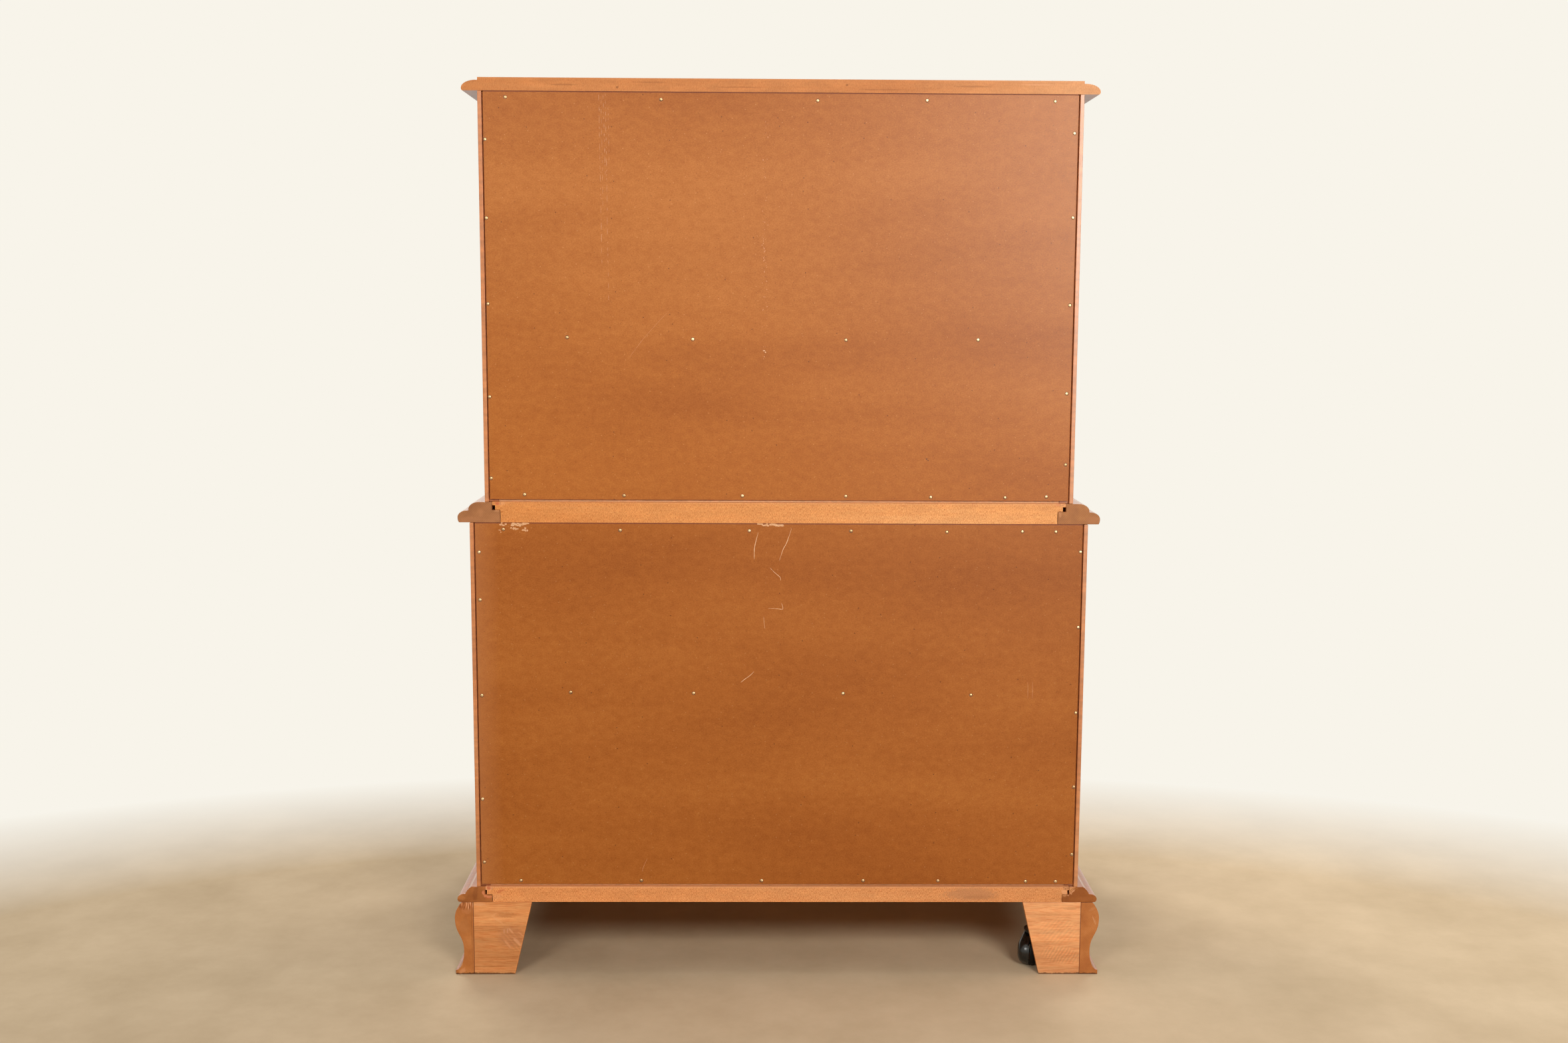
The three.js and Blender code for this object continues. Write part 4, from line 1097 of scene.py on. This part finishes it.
def drawer_front(name, number):
    """A solid front with a thumbnail edge that laps over the case, and a plug that fits the opening."""
    low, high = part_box(f"{name}_front")
    middle_z = (low.z + high.z) / 2
    half_x, half_z = high.x - lip_overlap * mm, (high.z - low.z) / 2 - lip_overlap * mm
    case_y = high.y - plug_depth * mm
    # Each station is how far it reaches past the opening, sideways and up, and how far back it lies
    stations = [(-plug_gap_side, -plug_gap_height, place) for place in (plug_depth, -lip_seat_gap)]
    stations.append((lip_overlap, lip_overlap, -lip_seat_gap))
    rise = front_thickness - lip_band - thumbnail_fillet
    for width, out in arc((0, 0), (thumbnail_width, rise), 0, 90, 12):
        grow = lip_overlap - thumbnail_width + width
        stations.append((grow, grow, -lip_seat_gap - lip_band - out))
    face = lip_overlap - thumbnail_width
    stations.append((face, face, -lip_seat_gap - front_thickness))
    rings = []
    for grow_x, grow_z, place in stations:
        x, y, z = half_x + grow_x * mm, case_y + place * mm, half_z + grow_z * mm
        rings.append([(u * x, y, middle_z + v * z) for u, v in ((-1, -1), (1, -1), (1, 1), (-1, 1))])
    shift = (number * 0.37, 0, number * 0.21)
    wood = maple(f"drawer front maple {number}", "x", show_wood, shift, 0.4, 0.2, 0.4)
    piece(f"{name}_front_board", stepped(rings), [wood], name, [f"{name}_front"], 0.3)
    return middle_z


def drawer_box(name, number):
    """Sides, back and bottom of bare maple, the bottom raised off the lower edge, and tails at the front
    corners.
    """
    node = f"{name}_box"
    low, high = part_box(node)
    wall, gap = box_wall * mm, joint_gap * mm
    floor = low.z + box_bottom_lift * mm
    side_maple = maple(f"drawer side maple {number}", "y", bare_wood, (number * 0.3, 0, 0.1), 0.15, 0.0, 0.6)
    back_maple = maple(f"drawer back maple {number}", "x", bare_wood, (number * 0.2, 0.4, 0), 0.15, 0.0, 0.6)
    for side, hand in ((-1, "left"), (1, "right")):
        xs = sorted((side * high.x, side * (high.x - wall)))
        board = block((xs[0], low.y, low.z), (xs[1], high.y, high.z))
        piece(f"{node}_side_{hand}", board, [side_maple], name, [node], 1.2)
    inner = high.x - wall - gap
    board = block((-inner, high.y - wall, floor), (inner, high.y - 2 * gap, high.z))
    piece(f"{node}_back", board, [back_maple], name, [node], 0.8)
    bottom = block((-inner, low.y, floor), (inner, high.y - wall - gap, floor + box_bottom_thickness * mm))
    piece(f"{node}_bottom", bottom, [drawer_bottom], name, [node], 0.2)
    piece(f"{node}_tails", box_tails(low, high), [side_maple], name)


def box_tails(low, high):
    """The dovetails that show on a box's sides, where they enter the front."""
    tails = []
    count = max(3, round((high.z - low.z) / (tail_pitch * mm)))
    pitch = (high.z - low.z) / count
    wide, narrow = pitch * 0.40, pitch * 0.30
    front_y = low.y - tail_depth * mm
    for side in (-1, 1):
        for tail in range(count):
            z = low.z + (tail + 0.5) * pitch
            drawn = [(low.y, z - narrow), (low.y, z + narrow), (front_y, z + wide), (front_y, z - wide)]
            tails.append(bar(drawn, "x", side * (high.x - 1 * mm), side * (high.x + 0.12 * mm)))
    return joined(tails)


# The backplate's right half, as shares of its half width and half height: control point, then end
plate_shares = [
    (0.1, 0.62, 0.3, 0.78),
    (0.52, 1.12, 0.68, 0.66),
    (0.82, 0.86, 1, 0.52),
    (0.82, 0.3, 0.84, 0.06),
    (0.94, -0.12, 0.86, -0.36),
    (0.66, -0.26, 0.58, -0.52),
    (0.46, -0.94, 0.24, -0.7),
    (0.12, -0.66, 0, -1),
]


def plate_outline():
    """The bat-wing outline of a backplate, as (x, z) in mm."""
    here = (0, plate_half_height)
    right = []
    for cx, cz, x, z in plate_shares:
        there = (x * plate_half_width, z * plate_half_height)
        right += curve([here, (cx * plate_half_width, cz * plate_half_height), there], 8)[:-1]
        here = there
    right.append(here)
    left = [(-x, z) for x, z in reversed(right[1:-1])]
    return right + left


def lathe_post(x, face_y, z):
    """A turned post with a ringed foot and a rounded head, standing out of the plate."""
    ring = [(7.5, 0.8), (6.9, 1.25), (5.6, 1.5), (4.2, 2.2), (3.9, 3.2), (4.4, 4.3)]
    head = [(post_radius * math.cos(a), post_length - 3 + 3 * math.sin(a)) for a in (0.2, 0.5, 0.85, 1.2)]
    above = [*ring, (post_radius, 5.4), (post_radius, 9.4), *head, (0, post_length)]
    post = spun([(0, 0.2), (7.5, 0.2), *((radius, plate_thickness + height) for radius, height in above)], 32)
    turn_and_set(post, Matrix.Rotation(math.radians(90), 3, "X"), (x, face_y, z))
    return post


def pull(name, hand, side, face_y, z):
    """A backplate with two posts, and the bail that hangs from them."""
    low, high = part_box(f"{name}_pull_right_plate")
    x = side * abs(low.x + high.x) / 2
    node = f"{name}_pull_{hand}"
    drawn = [(x + u * mm, z + v * mm) for u, v in plate_outline()]
    plate = bar(drawn, "y", face_y, face_y - plate_thickness * mm)
    front = [edge for edge in plate.edges if all(v.co.y < face_y - 1 * mm for v in edge.verts)]
    bmesh.ops.bevel(
        plate,
        geom=front,
        offset=0.8 * mm,
        segments=3,
        profile=0.5,
        affect="EDGES",
        material=-1,
        clamp_overlap=True,
    )
    piece(f"{node}_backplate", plate, [pull_brass], name, [f"{node}_plate"])
    for end, place in ((-1, "left"), (1, "right")):
        post = lathe_post(x + end * post_centres / 2 * mm, face_y, z)
        piece(f"{node}_post_{place}", post, [pull_brass], name, [f"{node}_plate"])
    bail(node, x, face_y - (plate_thickness + pivot_standoff) * mm, z, f"{name}_bail_{hand}")


def bail(node, x, y, z, body):
    """A cast bail: a rod that swells at its middle round a knop, with its pins turned into the posts."""
    arm = post_centres / 2 - post_radius - bail_arm_gap - bail_radius
    pin = post_centres / 2
    half = [
        (pin, 0, 0.75),
        (arm + 3.2, 0, 0.8),
        (arm, -2.6, 0.95),
        (arm - 0.7, -bail_drop * 0.3, 0.82),
        (arm + 2.9, -bail_drop * 0.55, 0.82),
        (arm + 2.2, -bail_drop * 0.84, 0.9),
        (arm - 4.8, -bail_drop, 0.85),
        (arm * 0.45, -bail_drop, 0.9),
    ]
    row = [*half, (0, -bail_drop, 1.0), *[(-u, v, r) for u, v, r in reversed(half)]]
    rod = cast_rod([(x + u * mm, y, z + v * mm, share) for u, v, share in row])
    swell = [(0, -3.4), (1.9, -3.2), (2.35, -2.2), (2.4, 0), (2.35, 2.2), (1.9, 3.2), (0, 3.4)]
    knop = spun(swell, 20)
    turn_and_set(knop, Matrix.Rotation(math.radians(90), 3, "Y"), (x, y, z - bail_drop * mm))
    piece(f"{node}_handle", joined([rod, knop]), [pull_brass], body, [f"{node}_bail"], smooth=50)


def cast_rod(points):
    """A rod along a smooth path: each point is its place and its share of the bail's radius."""
    path = bpy.data.curves.new("rod", "CURVE")
    path.dimensions = "3D"
    path.bevel_depth = bail_radius * mm
    path.bevel_resolution = 4
    path.use_fill_caps = True
    path.resolution_u = 6
    spline = path.splines.new("BEZIER")
    spline.bezier_points.add(len(points) - 1)
    for point, (x, y, z, share) in zip(spline.bezier_points, points):
        point.co = (x, y, z)
        point.radius = share
        point.handle_left_type = point.handle_right_type = "AUTO"
    rod = bpy.data.objects.new("rod", path)
    scene.collection.objects.link(rod)
    bpy.context.view_layer.update()
    bm = bmesh.new()
    shaped = rod.evaluated_get(bpy.context.evaluated_depsgraph_get())
    bm.from_mesh(shaped.to_mesh())
    shaped.to_mesh_clear()
    bpy.data.objects.remove(rod)
    bpy.data.curves.remove(path)
    bmesh.ops.remove_doubles(bm, verts=bm.verts, dist=merge_distance * mm)
    bmesh.ops.recalc_face_normals(bm, faces=bm.faces)
    return bm


def drawers():
    """The five drawers, each with its front, its box and its two pulls."""
    for number in range(1, 6):
        name = f"drawer_{number}"
        middle_z = drawer_front(name, number)
        drawer_box(name, number)
        face_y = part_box(f"{name}_pull_left_plate")[1].y
        for side, hand in ((-1, "left"), (1, "right")):
            pull(name, hand, side, face_y, middle_z)


# Casters


def caster(name, stem, heading):
    """A hooded ball caster: a domed hood under a collar, and the ball's open half, which turns against it."""
    across = Vector((math.cos(heading), math.sin(heading), 0))
    trail = Vector((across.y, -across.x, 0))
    axle = (across * math.cos(ball_tilt) - Vector((0, 0, math.sin(ball_tilt)))).normalized()
    centre = stem + (trail * caster_trail - across * stem_lead + Vector((0, 0, ball_radius))) * mm
    turn = Vector((0, 0, 1)).rotation_difference(axle).to_matrix()
    body = f"caster_{name}"
    ball = caster_ball(turn, centre)
    piece(f"{body}_ball_wheel", ball, [shaded_ball_nylon], f"{body}_wheel", [f"{body}_ball"])
    hood = caster_hood(turn, centre, stem)
    piece(f"{body}_hood_shell", hood, [hood_nylon], body, [f"{body}_hood"])
    low, high = stem_height - 0.5, stem_height + stem_reach
    drawn = [(0, low), (stem_radius, low), (stem_radius, high - 1), (stem_radius - 1, high), (0, high)]
    pin = spun(drawn, 24)
    turn_and_set(pin, Matrix.Identity(3), stem)
    piece(f"{body}_stem", pin, [hood_nylon], body)


def caster_ball(turn, centre):
    """The ball's open half: its axle, its rim, the round of its tread and a small hub."""
    rim = ball_radius - 1.6
    tread = [(0, -axle_reach), (axle_radius, -axle_reach), (axle_radius, 0.2)]
    tread += [(rim - 0.8, 0.2), (rim, 0.5), (rim, 1.6)]
    angles = [0.08 + 0.09 * i for i in range(15)]
    tread += [(ball_radius * math.cos(a), ball_radius * math.sin(a)) for a in angles]
    hub = ball_radius * math.sin(angles[-1])
    tread += [(5.2, hub + 0.1), (4.6, hub - 0.8), (0, hub - 0.8)]
    ball = spun(tread, 64)
    turn_and_set(ball, turn, centre)
    return ball


def caster_hood(turn, centre, stem):
    """The hood: a skin stretched from its dome to the boss under the collar, hollowed for the ball."""
    dome = [(0, -seam_gap), (hood_radius - 0.5, -seam_gap), (hood_radius, -seam_gap - 0.5)]
    for i in range(1, 16):
        a = math.pi / 2 * i / 16
        out, deep = math.cos(a) ** hood_fullness, math.sin(a) ** hood_fullness
        dome.append((hood_radius * out, -seam_gap - hood_depth * deep))
    dome.append((0, -seam_gap - hood_depth))
    cap = spun(dome, 64)
    turn_and_set(cap, turn, centre)
    boss_foot = stem_height - collar_thickness - boss_length
    shoulder = bmesh.new()
    bmesh.ops.create_circle(shoulder, cap_ends=True, segments=48, radius=(boss_radius + seam_gap) * mm)
    turn_and_set(shoulder, Matrix.Identity(3), stem + Vector((0, 0, boss_foot * mm)))
    skin = joined([cap, shoulder])
    hull = bmesh.ops.convex_hull(skin, input=skin.verts, use_existing_faces=False)
    spare = {v for v in hull["geom_interior"] + hull["geom_unused"] if isinstance(v, bmesh.types.BMVert)}
    bmesh.ops.delete(skin, geom=list(spare), context="VERTS")
    bmesh.ops.delete(skin, geom=[f for f in skin.faces if len(f.verts) > 3], context="FACES_ONLY")
    bmesh.ops.recalc_face_normals(skin, faces=skin.faces)
    top_ring = stem_height - collar_thickness
    collar = [(0, boss_foot - 1), (boss_radius, boss_foot - 1), (boss_radius, top_ring)]
    collar += [(collar_radius - 0.3, top_ring), (collar_radius, top_ring + 0.3)]
    collar += [(collar_radius, stem_height - 0.4), (collar_radius - 0.4, stem_height), (0, stem_height)]
    stalk = spun(collar, 48)
    turn_and_set(stalk, Matrix.Identity(3), stem)
    room_radius = ball_radius + ball_clearance
    hole_radius, hole_reach = axle_radius + axle_room, axle_reach + axle_room + 0.1
    room = [(0, -hole_reach), (hole_radius, -hole_reach), (hole_radius, -seam_gap), (room_radius, -seam_gap)]
    room += [(max(r, 0) * room_radius, h * room_radius) for r, h in arc((0, 0), (1, 1), 0, 90, 16)]
    hollow = spun(room, 64)
    turn_and_set(hollow, turn, centre)
    return sawn(sawn(skin, [stalk], "UNION"), [hollow])


# Nails: (x, z) in mm, as they lie in the photograph, so x runs to the left hand from behind
upper_nails = [
    (-380, 1262), (-166, 1260), (50, 1260), (201, 1261), (378, 1261),
    (-409, 1205), (-409, 1098), (-409, 980), (-409, 850), (-409, 735),
    (406, 1218), (407, 1103), (406, 982), (405, 858), (406, 757),
    (-299, 934), (-123, 932), (92, 932), (278, 933),
    (-362, 712), (-221, 711), (-53, 711), (94, 711), (215, 710), (321, 710), (380, 711),
]
lower_nails = [
    (-393, 662), (-227, 661), (-43, 661), (102, 661), (239, 660), (347, 661), (395, 661),
    (-428, 629), (-428, 560), (-428, 420), (-430, 266), (-429, 171),
    (431, 632), (431, 522), (431, 396), (431, 285), (431, 183),
    (-300, 425), (-123, 424), (93, 424), (278, 422),
    (-376, 143), (-200, 143), (-24, 143), (125, 143), (235, 143), (364, 142), (408, 142),
]


def nails(name, places):
    """Flat brass-coloured panel nails, driven nearly flush, each a little askew, over a dark disc: painted
    shade round the head.
    """
    heads, painted_shade_rings = [], []
    for x, z in places:
        radius = random.uniform(2.0, 2.25)
        crown = [(0, 0.5), (radius * 0.5, 0.45), (radius * 0.85, 0.28), (radius, 0)]
        head = spun([*crown, (radius, -0.5), (0, -0.5)], 20)
        tilt = Matrix.Rotation(math.radians(-90 + random.uniform(-5, 5)), 3, "X")
        tilt = tilt @ Matrix.Rotation(random.uniform(-0.08, 0.08), 3, "Y")
        turn_and_set(head, tilt, Vector((-x * mm, panel_face + 0.12 * mm, z * mm)))
        heads.append(head)
        # A dark disc a little wider than the head: its rim is painted shade round the nail
        shade_disc = spun([(0, 0), (radius + 0.5, 0), (radius + 0.55, -0.1), (0, -0.1)], 20)
        flat = Matrix.Rotation(math.radians(-90), 3, "X")
        turn_and_set(shade_disc, flat, Vector((-x * mm, panel_face + 0.03 * mm, z * mm)))
        painted_shade_rings.append(shade_disc)
    piece(name, joined(heads), [nail_brass], "case", smooth=60)
    piece(f"{name}_dimples", joined(painted_shade_rings), [dark_fleck_and_shade], "case", smooth=60)


# Marks of use on the panels: points (x, z) in mm as seen in the photograph, and a width in mm
scratches = [
    ("lower_curve", [(-30.2, 659), (-33.9, 645), (-35.8, 634), (-35.8, 620)], 0.9, "scratch"),
    ("lower_sweep", [(17.3, 665), (10.7, 645), (5.1, 634), (0.0, 618)], 0.8, "scratch"),
    ("lower_hook", [(-13.5, 608), (-8, 602), (1, 594), (2.2, 589)], 0.7, "scratch"),
    ("lower_tick", [(-15.5, 549), (-4, 548.5), (4.4, 547.5), (5.2, 551), (3.0, 557)], 0.7, "scratch"),
    ("lower_dash", [(-22.2, 537), (-21.5, 528), (-20.2, 519)], 0.5, "scratch"),
    ("lower_stroke", [(-55, 440), (-49, 445), (-42, 450), (-36, 456)], 0.9, "scratch"),
    ("right_hair_one", [(360.0, 442), (360.6, 417)], 0.4, "faint"),
    ("right_hair_two", [(366.7, 442), (367.4, 417)], 0.4, "faint"),
    ("low_hair", [(-191, 177), (-196, 166), (-199, 157)], 0.5, "faint"),
    ("upper_slant", [(-213, 905), (-190, 935), (-156, 972)], 0.35, "faint"),
]

# Long rubbed lines on the upper panel, broken into dashes: x at the top, x at the bottom, z from, z to, width
rubbed_lines = [
    (-251.5, -249.2, 1268, 1040, 0.5), (-245.6, -243.2, 1268, 1150, 0.6), (-242.4, -240.4, 1268, 985, 0.45),
    (-248.4, -247.0, 1262, 1110, 0.4), (-238.9, -237.8, 1250, 1175, 0.35),
]

# Flakes strewn over patches: how many, then the ranges of x, z, width and height
chip_patches = [
    (8, (-397, -388), (666.5, 671), (3, 6), (1.8, 3.4)),
    (3, (-400, -396), (656, 661), (1.5, 3), (1.5, 3)),
    (22, (-381, -358), (667.5, 671), (4, 8), (1.8, 3.6)),
    (6, (-379, -373), (661, 665), (2, 5), (2, 4)),
    (8, (-367, -359), (659.5, 664), (2, 4), (2, 4.5)),
    (2, (-384, -381), (662, 666), (1.5, 2.5), (2, 3)),
    (24, (-33, 4), (668, 671), (4, 10), (1.6, 3.4)),
]
rub_patches = [
    (46, (-27, -18), (900, 1235), (0.5, 1.6), (0.6, 3)),
    (18, (-25, -21), (1040, 1085), (0.6, 1.8), (1, 3)),
]

# Single flakes: x, z, width, height and number of corners
knock_flakes = [(-23, 916.5, 4.5, 1.6, 7), (-21, 914.5, 3.2, 2.4, 7), (-22.5, 908, 1.6, 1.4, 6)]
fleck_flakes = [(208.3, 764.7, 4.6, 2.2, 7), (210.5, 762.5, 2.5, 2.0, 7)]


def through(before, here, there, after, t):
    """A point on the smooth curve from here to there (Catmull and Rom's), at the share t of its run."""
    spot = []
    for a, b, c, d in zip(before, here, there, after):
        bend, twist = 2 * a - 5 * b + 4 * c - d, 3 * b - a - 3 * c + d
        spot.append(0.5 * (2 * b + (c - a) * t + bend * t**2 + twist * t**3))
    return spot


def scratch(name, points, width, kind):
    """A scratch as a sliver of bared fibre that tapers to both ends."""
    steps = []
    for i in range(len(points) - 1):
        before, after = points[max(i - 1, 0)], points[min(i + 2, len(points) - 1)]
        steps += [through(before, points[i], points[i + 1], after, k / 6) for k in range(6)]
    steps.append(points[-1])
    left, right = [], []
    for i, (x, z) in enumerate(steps):
        share = i / (len(steps) - 1)
        half = width / 2 * (math.sin(math.pi * min(max(share, 0.02), 0.98)) ** 0.5) * random.uniform(0.6, 1.1)
        ahead, behind = steps[min(i + 1, len(steps) - 1)], steps[max(i - 1, 0)]
        way = Vector((ahead[0] - behind[0], ahead[1] - behind[1])).normalized()
        left.append((-(x - way.y * half) * mm, (z + way.x * half) * mm))
        right.append((-(x + way.y * half) * mm, (z - way.x * half) * mm))
    sliver = bar(left + right[::-1], "y", panel_face - 0.1 * mm, panel_face + 0.05 * mm)
    fibre = {"scratch": scratch_fibre, "faint": faint_fibre}[kind]
    mark(f"scratch_{name}", [sliver], fibre)


def mark(name, slivers, fibre):
    """A mark on a panel, made of slivers."""
    piece(name, joined(slivers), [fibre], "case", smooth=80)


def flake(x, z, wide, high, corners):
    """A ragged flake where the finish came off, (x, z) its middle as seen in the photograph."""
    drawn = []
    for i in range(corners):
        a = math.tau * i / corners
        r = random.uniform(0.55, 1.0)
        drawn.append((-(x + math.cos(a) * wide / 2 * r) * mm, (z + math.sin(a) * high / 2 * r) * mm))
    return bar(drawn, "y", panel_face - 0.1 * mm, panel_face + random.uniform(0.03, 0.12) * mm)


def strewn_flakes(patches, corners):
    """Flakes strewn over each patch, within its ranges."""
    flakes = []
    for number, *ranges in patches:
        for _ in range(number):
            flakes.append(flake(*(random.uniform(*pair) for pair in ranges), corners))
    return flakes


def marks():
    """The scratches, rubbed lines, chips and knocks on the two panels."""
    for name, points, width, kind in scratches:
        scratch(name, points, width, kind)
    dashes = []
    for x_high, x_low, high, low, width in rubbed_lines:
        z = high
        while z > low:
            length = random.uniform(2, 15)
            share = (z - low) / (high - low)
            x = x_low + (x_high - x_low) * share + random.uniform(-0.15, 0.15)
            dashes.append(flake(x, z - length / 2, width * random.uniform(0.6, 1.1), length, 6))
            z -= length + random.uniform(0.5, 7) * (1.5 - share)
    mark("rubbed_lines_on_upper_panel", dashes, line_fibre)
    mark("chips_under_waist", strewn_flakes(chip_patches, 9), bare_fibre)
    mark("rubs_on_upper_panel", strewn_flakes(rub_patches, 6), faint_fibre)
    mark("knock_on_upper_panel", [flake(*size) for size in knock_flakes], scratch_fibre)
    mark("fleck_on_upper_panel", [flake(*size) for size in fleck_flakes], dark_fleck_and_shade)


def seams():
    """Thin dark brown strips that fill the cracks between the boards of the back: painted shade in the seams,
    browner than a bare gap.
    """
    joint = lower_half + foot_inner_out * mm
    half = seat_gap * mm
    shade_strips = []
    for side in (-1, 1):
        xs = sorted((side * (joint - half * 1.5), side * (joint + half * 0.5)))
        shade_strips.append(block((xs[0], back - 2 * mm, 1 * mm), (xs[1], back - 0.25 * mm, foot_top)))
    for panel, above in (("lower_back_panel", "waist_back_rail"), ("upper_back_panel", "top_board")):
        low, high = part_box(panel)[1].z - half / 2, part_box(above)[0].z + half / 2
        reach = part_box(panel)[1].x - 1 * mm
        shade_strips.append(block((-reach, panel_face - 1.5 * mm, low), (reach, panel_face - 0.05 * mm, high)))
    piece("painted_shade_in_seams", joined(shade_strips), [seam_shade], "case", smooth=60)


# Stage, camera and light
studio_white = "#f8f4ea"

# The photograph's camera: its turn, tilt and roll in degrees, its place in metres, its lens in pixels
view_angles = (-0.743, -7.498, -0.287)
view_place = (0.0237, back + 2.3135, 0.9792)
focal_pixels = 2463.4
image_width = 2357

# The soft boxes: place, what they are turned to, width and height, all in metres, and power in watts
lamps = [
    ("key", (-1.4, 3.9, 2.55), (0, 0, 0.6), (1.2, 1.1), 103),
    ("fill", (1.7, 3.7, 2.6), (0, 0, 0.6), (1.2, 1.1), 55),
    ("overhead", (0, 0.6, 3.3), (0, 0.6, 0), (3.2, 3.2), 30),
    ("front key", (1.3, -1.9, 3.1), (0, -0.2, 0.75), (1.2, 1.0), 56),
    ("front fill", (-1.4, -1.8, 3.0), (0, -0.2, 0.65), (1.2, 1.0), 34),
    ("left side", (-2.3, 0.1, 3.0), (-0.4, 0, 0.6), (1.2, 1.2), 18),
    ("right side", (2.3, -0.1, 3.0), (0.4, 0, 0.6), (1.2, 1.2), 18),
]


def seen_or_mirrored(owner):
    """1 for what the lens or a mirroring surface sees straight, 0 for the light that falls on the chest."""
    rays = add(owner, "LightPath").outputs
    inputs = {0: rays["Is Camera Ray"], 1: rays["Is Glossy Ray"]}
    return add(owner, "Math", inputs, operation="MAXIMUM").outputs[0]


def pale_floor():
    """Pale sealed stone, dull and faintly clouded, that turns to the plain white of a studio sweep."""
    material, shader, coordinates = finish("pale floor")
    cloud = specks(material, coordinates, 200, 6.0, 0.65)
    stops = [(0.3, "#ad997c"), (0.7, "#beaa8d")]
    colour = add(material, "ValToRGB", {"Fac": cloud}, stops).outputs["Color"]
    x = add(material, "SeparateXYZ", {0: coordinates}).outputs["X"]
    # Brighter towards -x: painted light, for the key lamp on that side
    colour = shaded(material, colour, x, (0.5, -0.9), (1.0, 1.32))
    surface(material, shader, colour, cloud, 0.2, 0.8, 0.05, ior=1.15)
    # The stone reaches about a metre from a point behind the chest, and further to its sides
    inputs = {"Vector": coordinates, "Location": (0, -0.62, 0), "Scale": (0.62, 1, 1)}
    place = add(material, "Mapping", inputs).outputs[0]
    reach = add(material, "VectorMath", {0: place}, operation="LENGTH").outputs["Value"]
    inputs = {"Value": reach, "From Min": 0.98, "From Max": 1.45, "To Min": 0.0, "To Max": 1.0}
    away = add(material, "MapRange", inputs).outputs[0]
    white = add(material, "Emission", {"Color": linear(studio_white), "Strength": 1.0}).outputs[0]
    share = add(material, "Math", {0: away, 1: seen_or_mirrored(material)}, operation="MULTIPLY").outputs[0]
    mixed = add(material, "MixShader", {0: share, 1: shader.outputs[0], 2: white}).outputs[0]
    tree = material.node_tree
    tree.links.new(mixed, tree.nodes["Material Output"].inputs["Surface"])
    return material


def stage():
    """The floor, and a white room that gives the chest a little light of its own."""
    ground = bpy.data.objects.new("floor", bpy.data.meshes.new("floor"))
    sheet = section([(-30, -30), (30, -30), (30, 30), (-30, 30)], "z", 0)
    sheet.to_mesh(ground.data)
    sheet.free()
    scene.collection.objects.link(ground)
    ground.data.materials.append(pale_floor())

    world = bpy.data.worlds.new("studio")
    scene.world = world
    world.use_nodes = True
    room = world.node_tree.nodes["Background"]
    room.inputs["Color"].default_value = linear("#f7f3ea")
    room.inputs["Strength"].default_value = 0.06
    wall = add(world, "Background", {"Color": linear(studio_white), "Strength": 1.0}).outputs[0]
    inputs = {0: seen_or_mirrored(world), 1: room.outputs[0], 2: wall}
    mixed = add(world, "MixShader", inputs).outputs[0]
    world.node_tree.links.new(mixed, world.node_tree.nodes["World Output"].inputs["Surface"])


def lamp(name, where, aim, size, power):
    """A soft box at a place, turned to what it lights."""
    light = bpy.data.lights.new(name, "AREA")
    light.shape = "RECTANGLE"
    light.size, light.size_y = size
    light.energy = power
    light.color = (1.0, 0.985, 0.96)
    thing = bpy.data.objects.new(name, light)
    thing.location = where
    thing.rotation_mode = "QUATERNION"
    thing.rotation_quaternion = (Vector(aim) - Vector(where)).to_track_quat("-Z", "Y")
    scene.collection.objects.link(thing)
    return thing


def camera():
    """The photograph's view: a little above the middle of the back, looking slightly down."""
    yaw, pitch, roll = (math.radians(a) for a in view_angles)
    turn = Matrix.Rotation(yaw, 3, "Z") @ Matrix.Rotation(pitch, 3, "X") @ Matrix.Rotation(roll, 3, "Y")
    facing = Matrix.Rotation(math.pi, 3, "Z") @ turn
    lens = bpy.data.cameras.new("view")
    lens.sensor_width = 36.0
    lens.lens = focal_pixels / image_width * lens.sensor_width
    lens.dof.use_dof = False
    view = bpy.data.objects.new("view", lens)
    right, ahead, up = facing.col[0], facing.col[1], facing.col[2]
    axes = Matrix((right, up, -ahead)).transposed()
    view.matrix_world = Matrix.Translation(view_place) @ axes.to_4x4()
    scene.collection.objects.link(view)
    scene.camera = view


random.seed(11)
camera()
moulded_frame(waist, "waist")
moulded_frame(base, "base")
top_board()
back_feet()
front_feet()
boards()
drawers()
for caster_name, (stem_place, caster_heading) in casters.items():
    caster(caster_name, stem_place, caster_heading)
nails("upper_panel_nails", upper_nails)
nails("lower_panel_nails", lower_nails)
marks()
seams()
stage()
for lamp_name, where, aim, size, power in lamps:
    lamp(lamp_name, where, aim, size, power)
# A tall white screen stands by the camera: it gives the back its sheen, and no light of its own
screen = lamp("screen", (-1.3, 3.0, 1.35), (-0.4, 0.2, 1.1), (0.5, 0.9), 72)
screen.visible_diffuse = False
scene.view_settings.view_transform = "Standard"
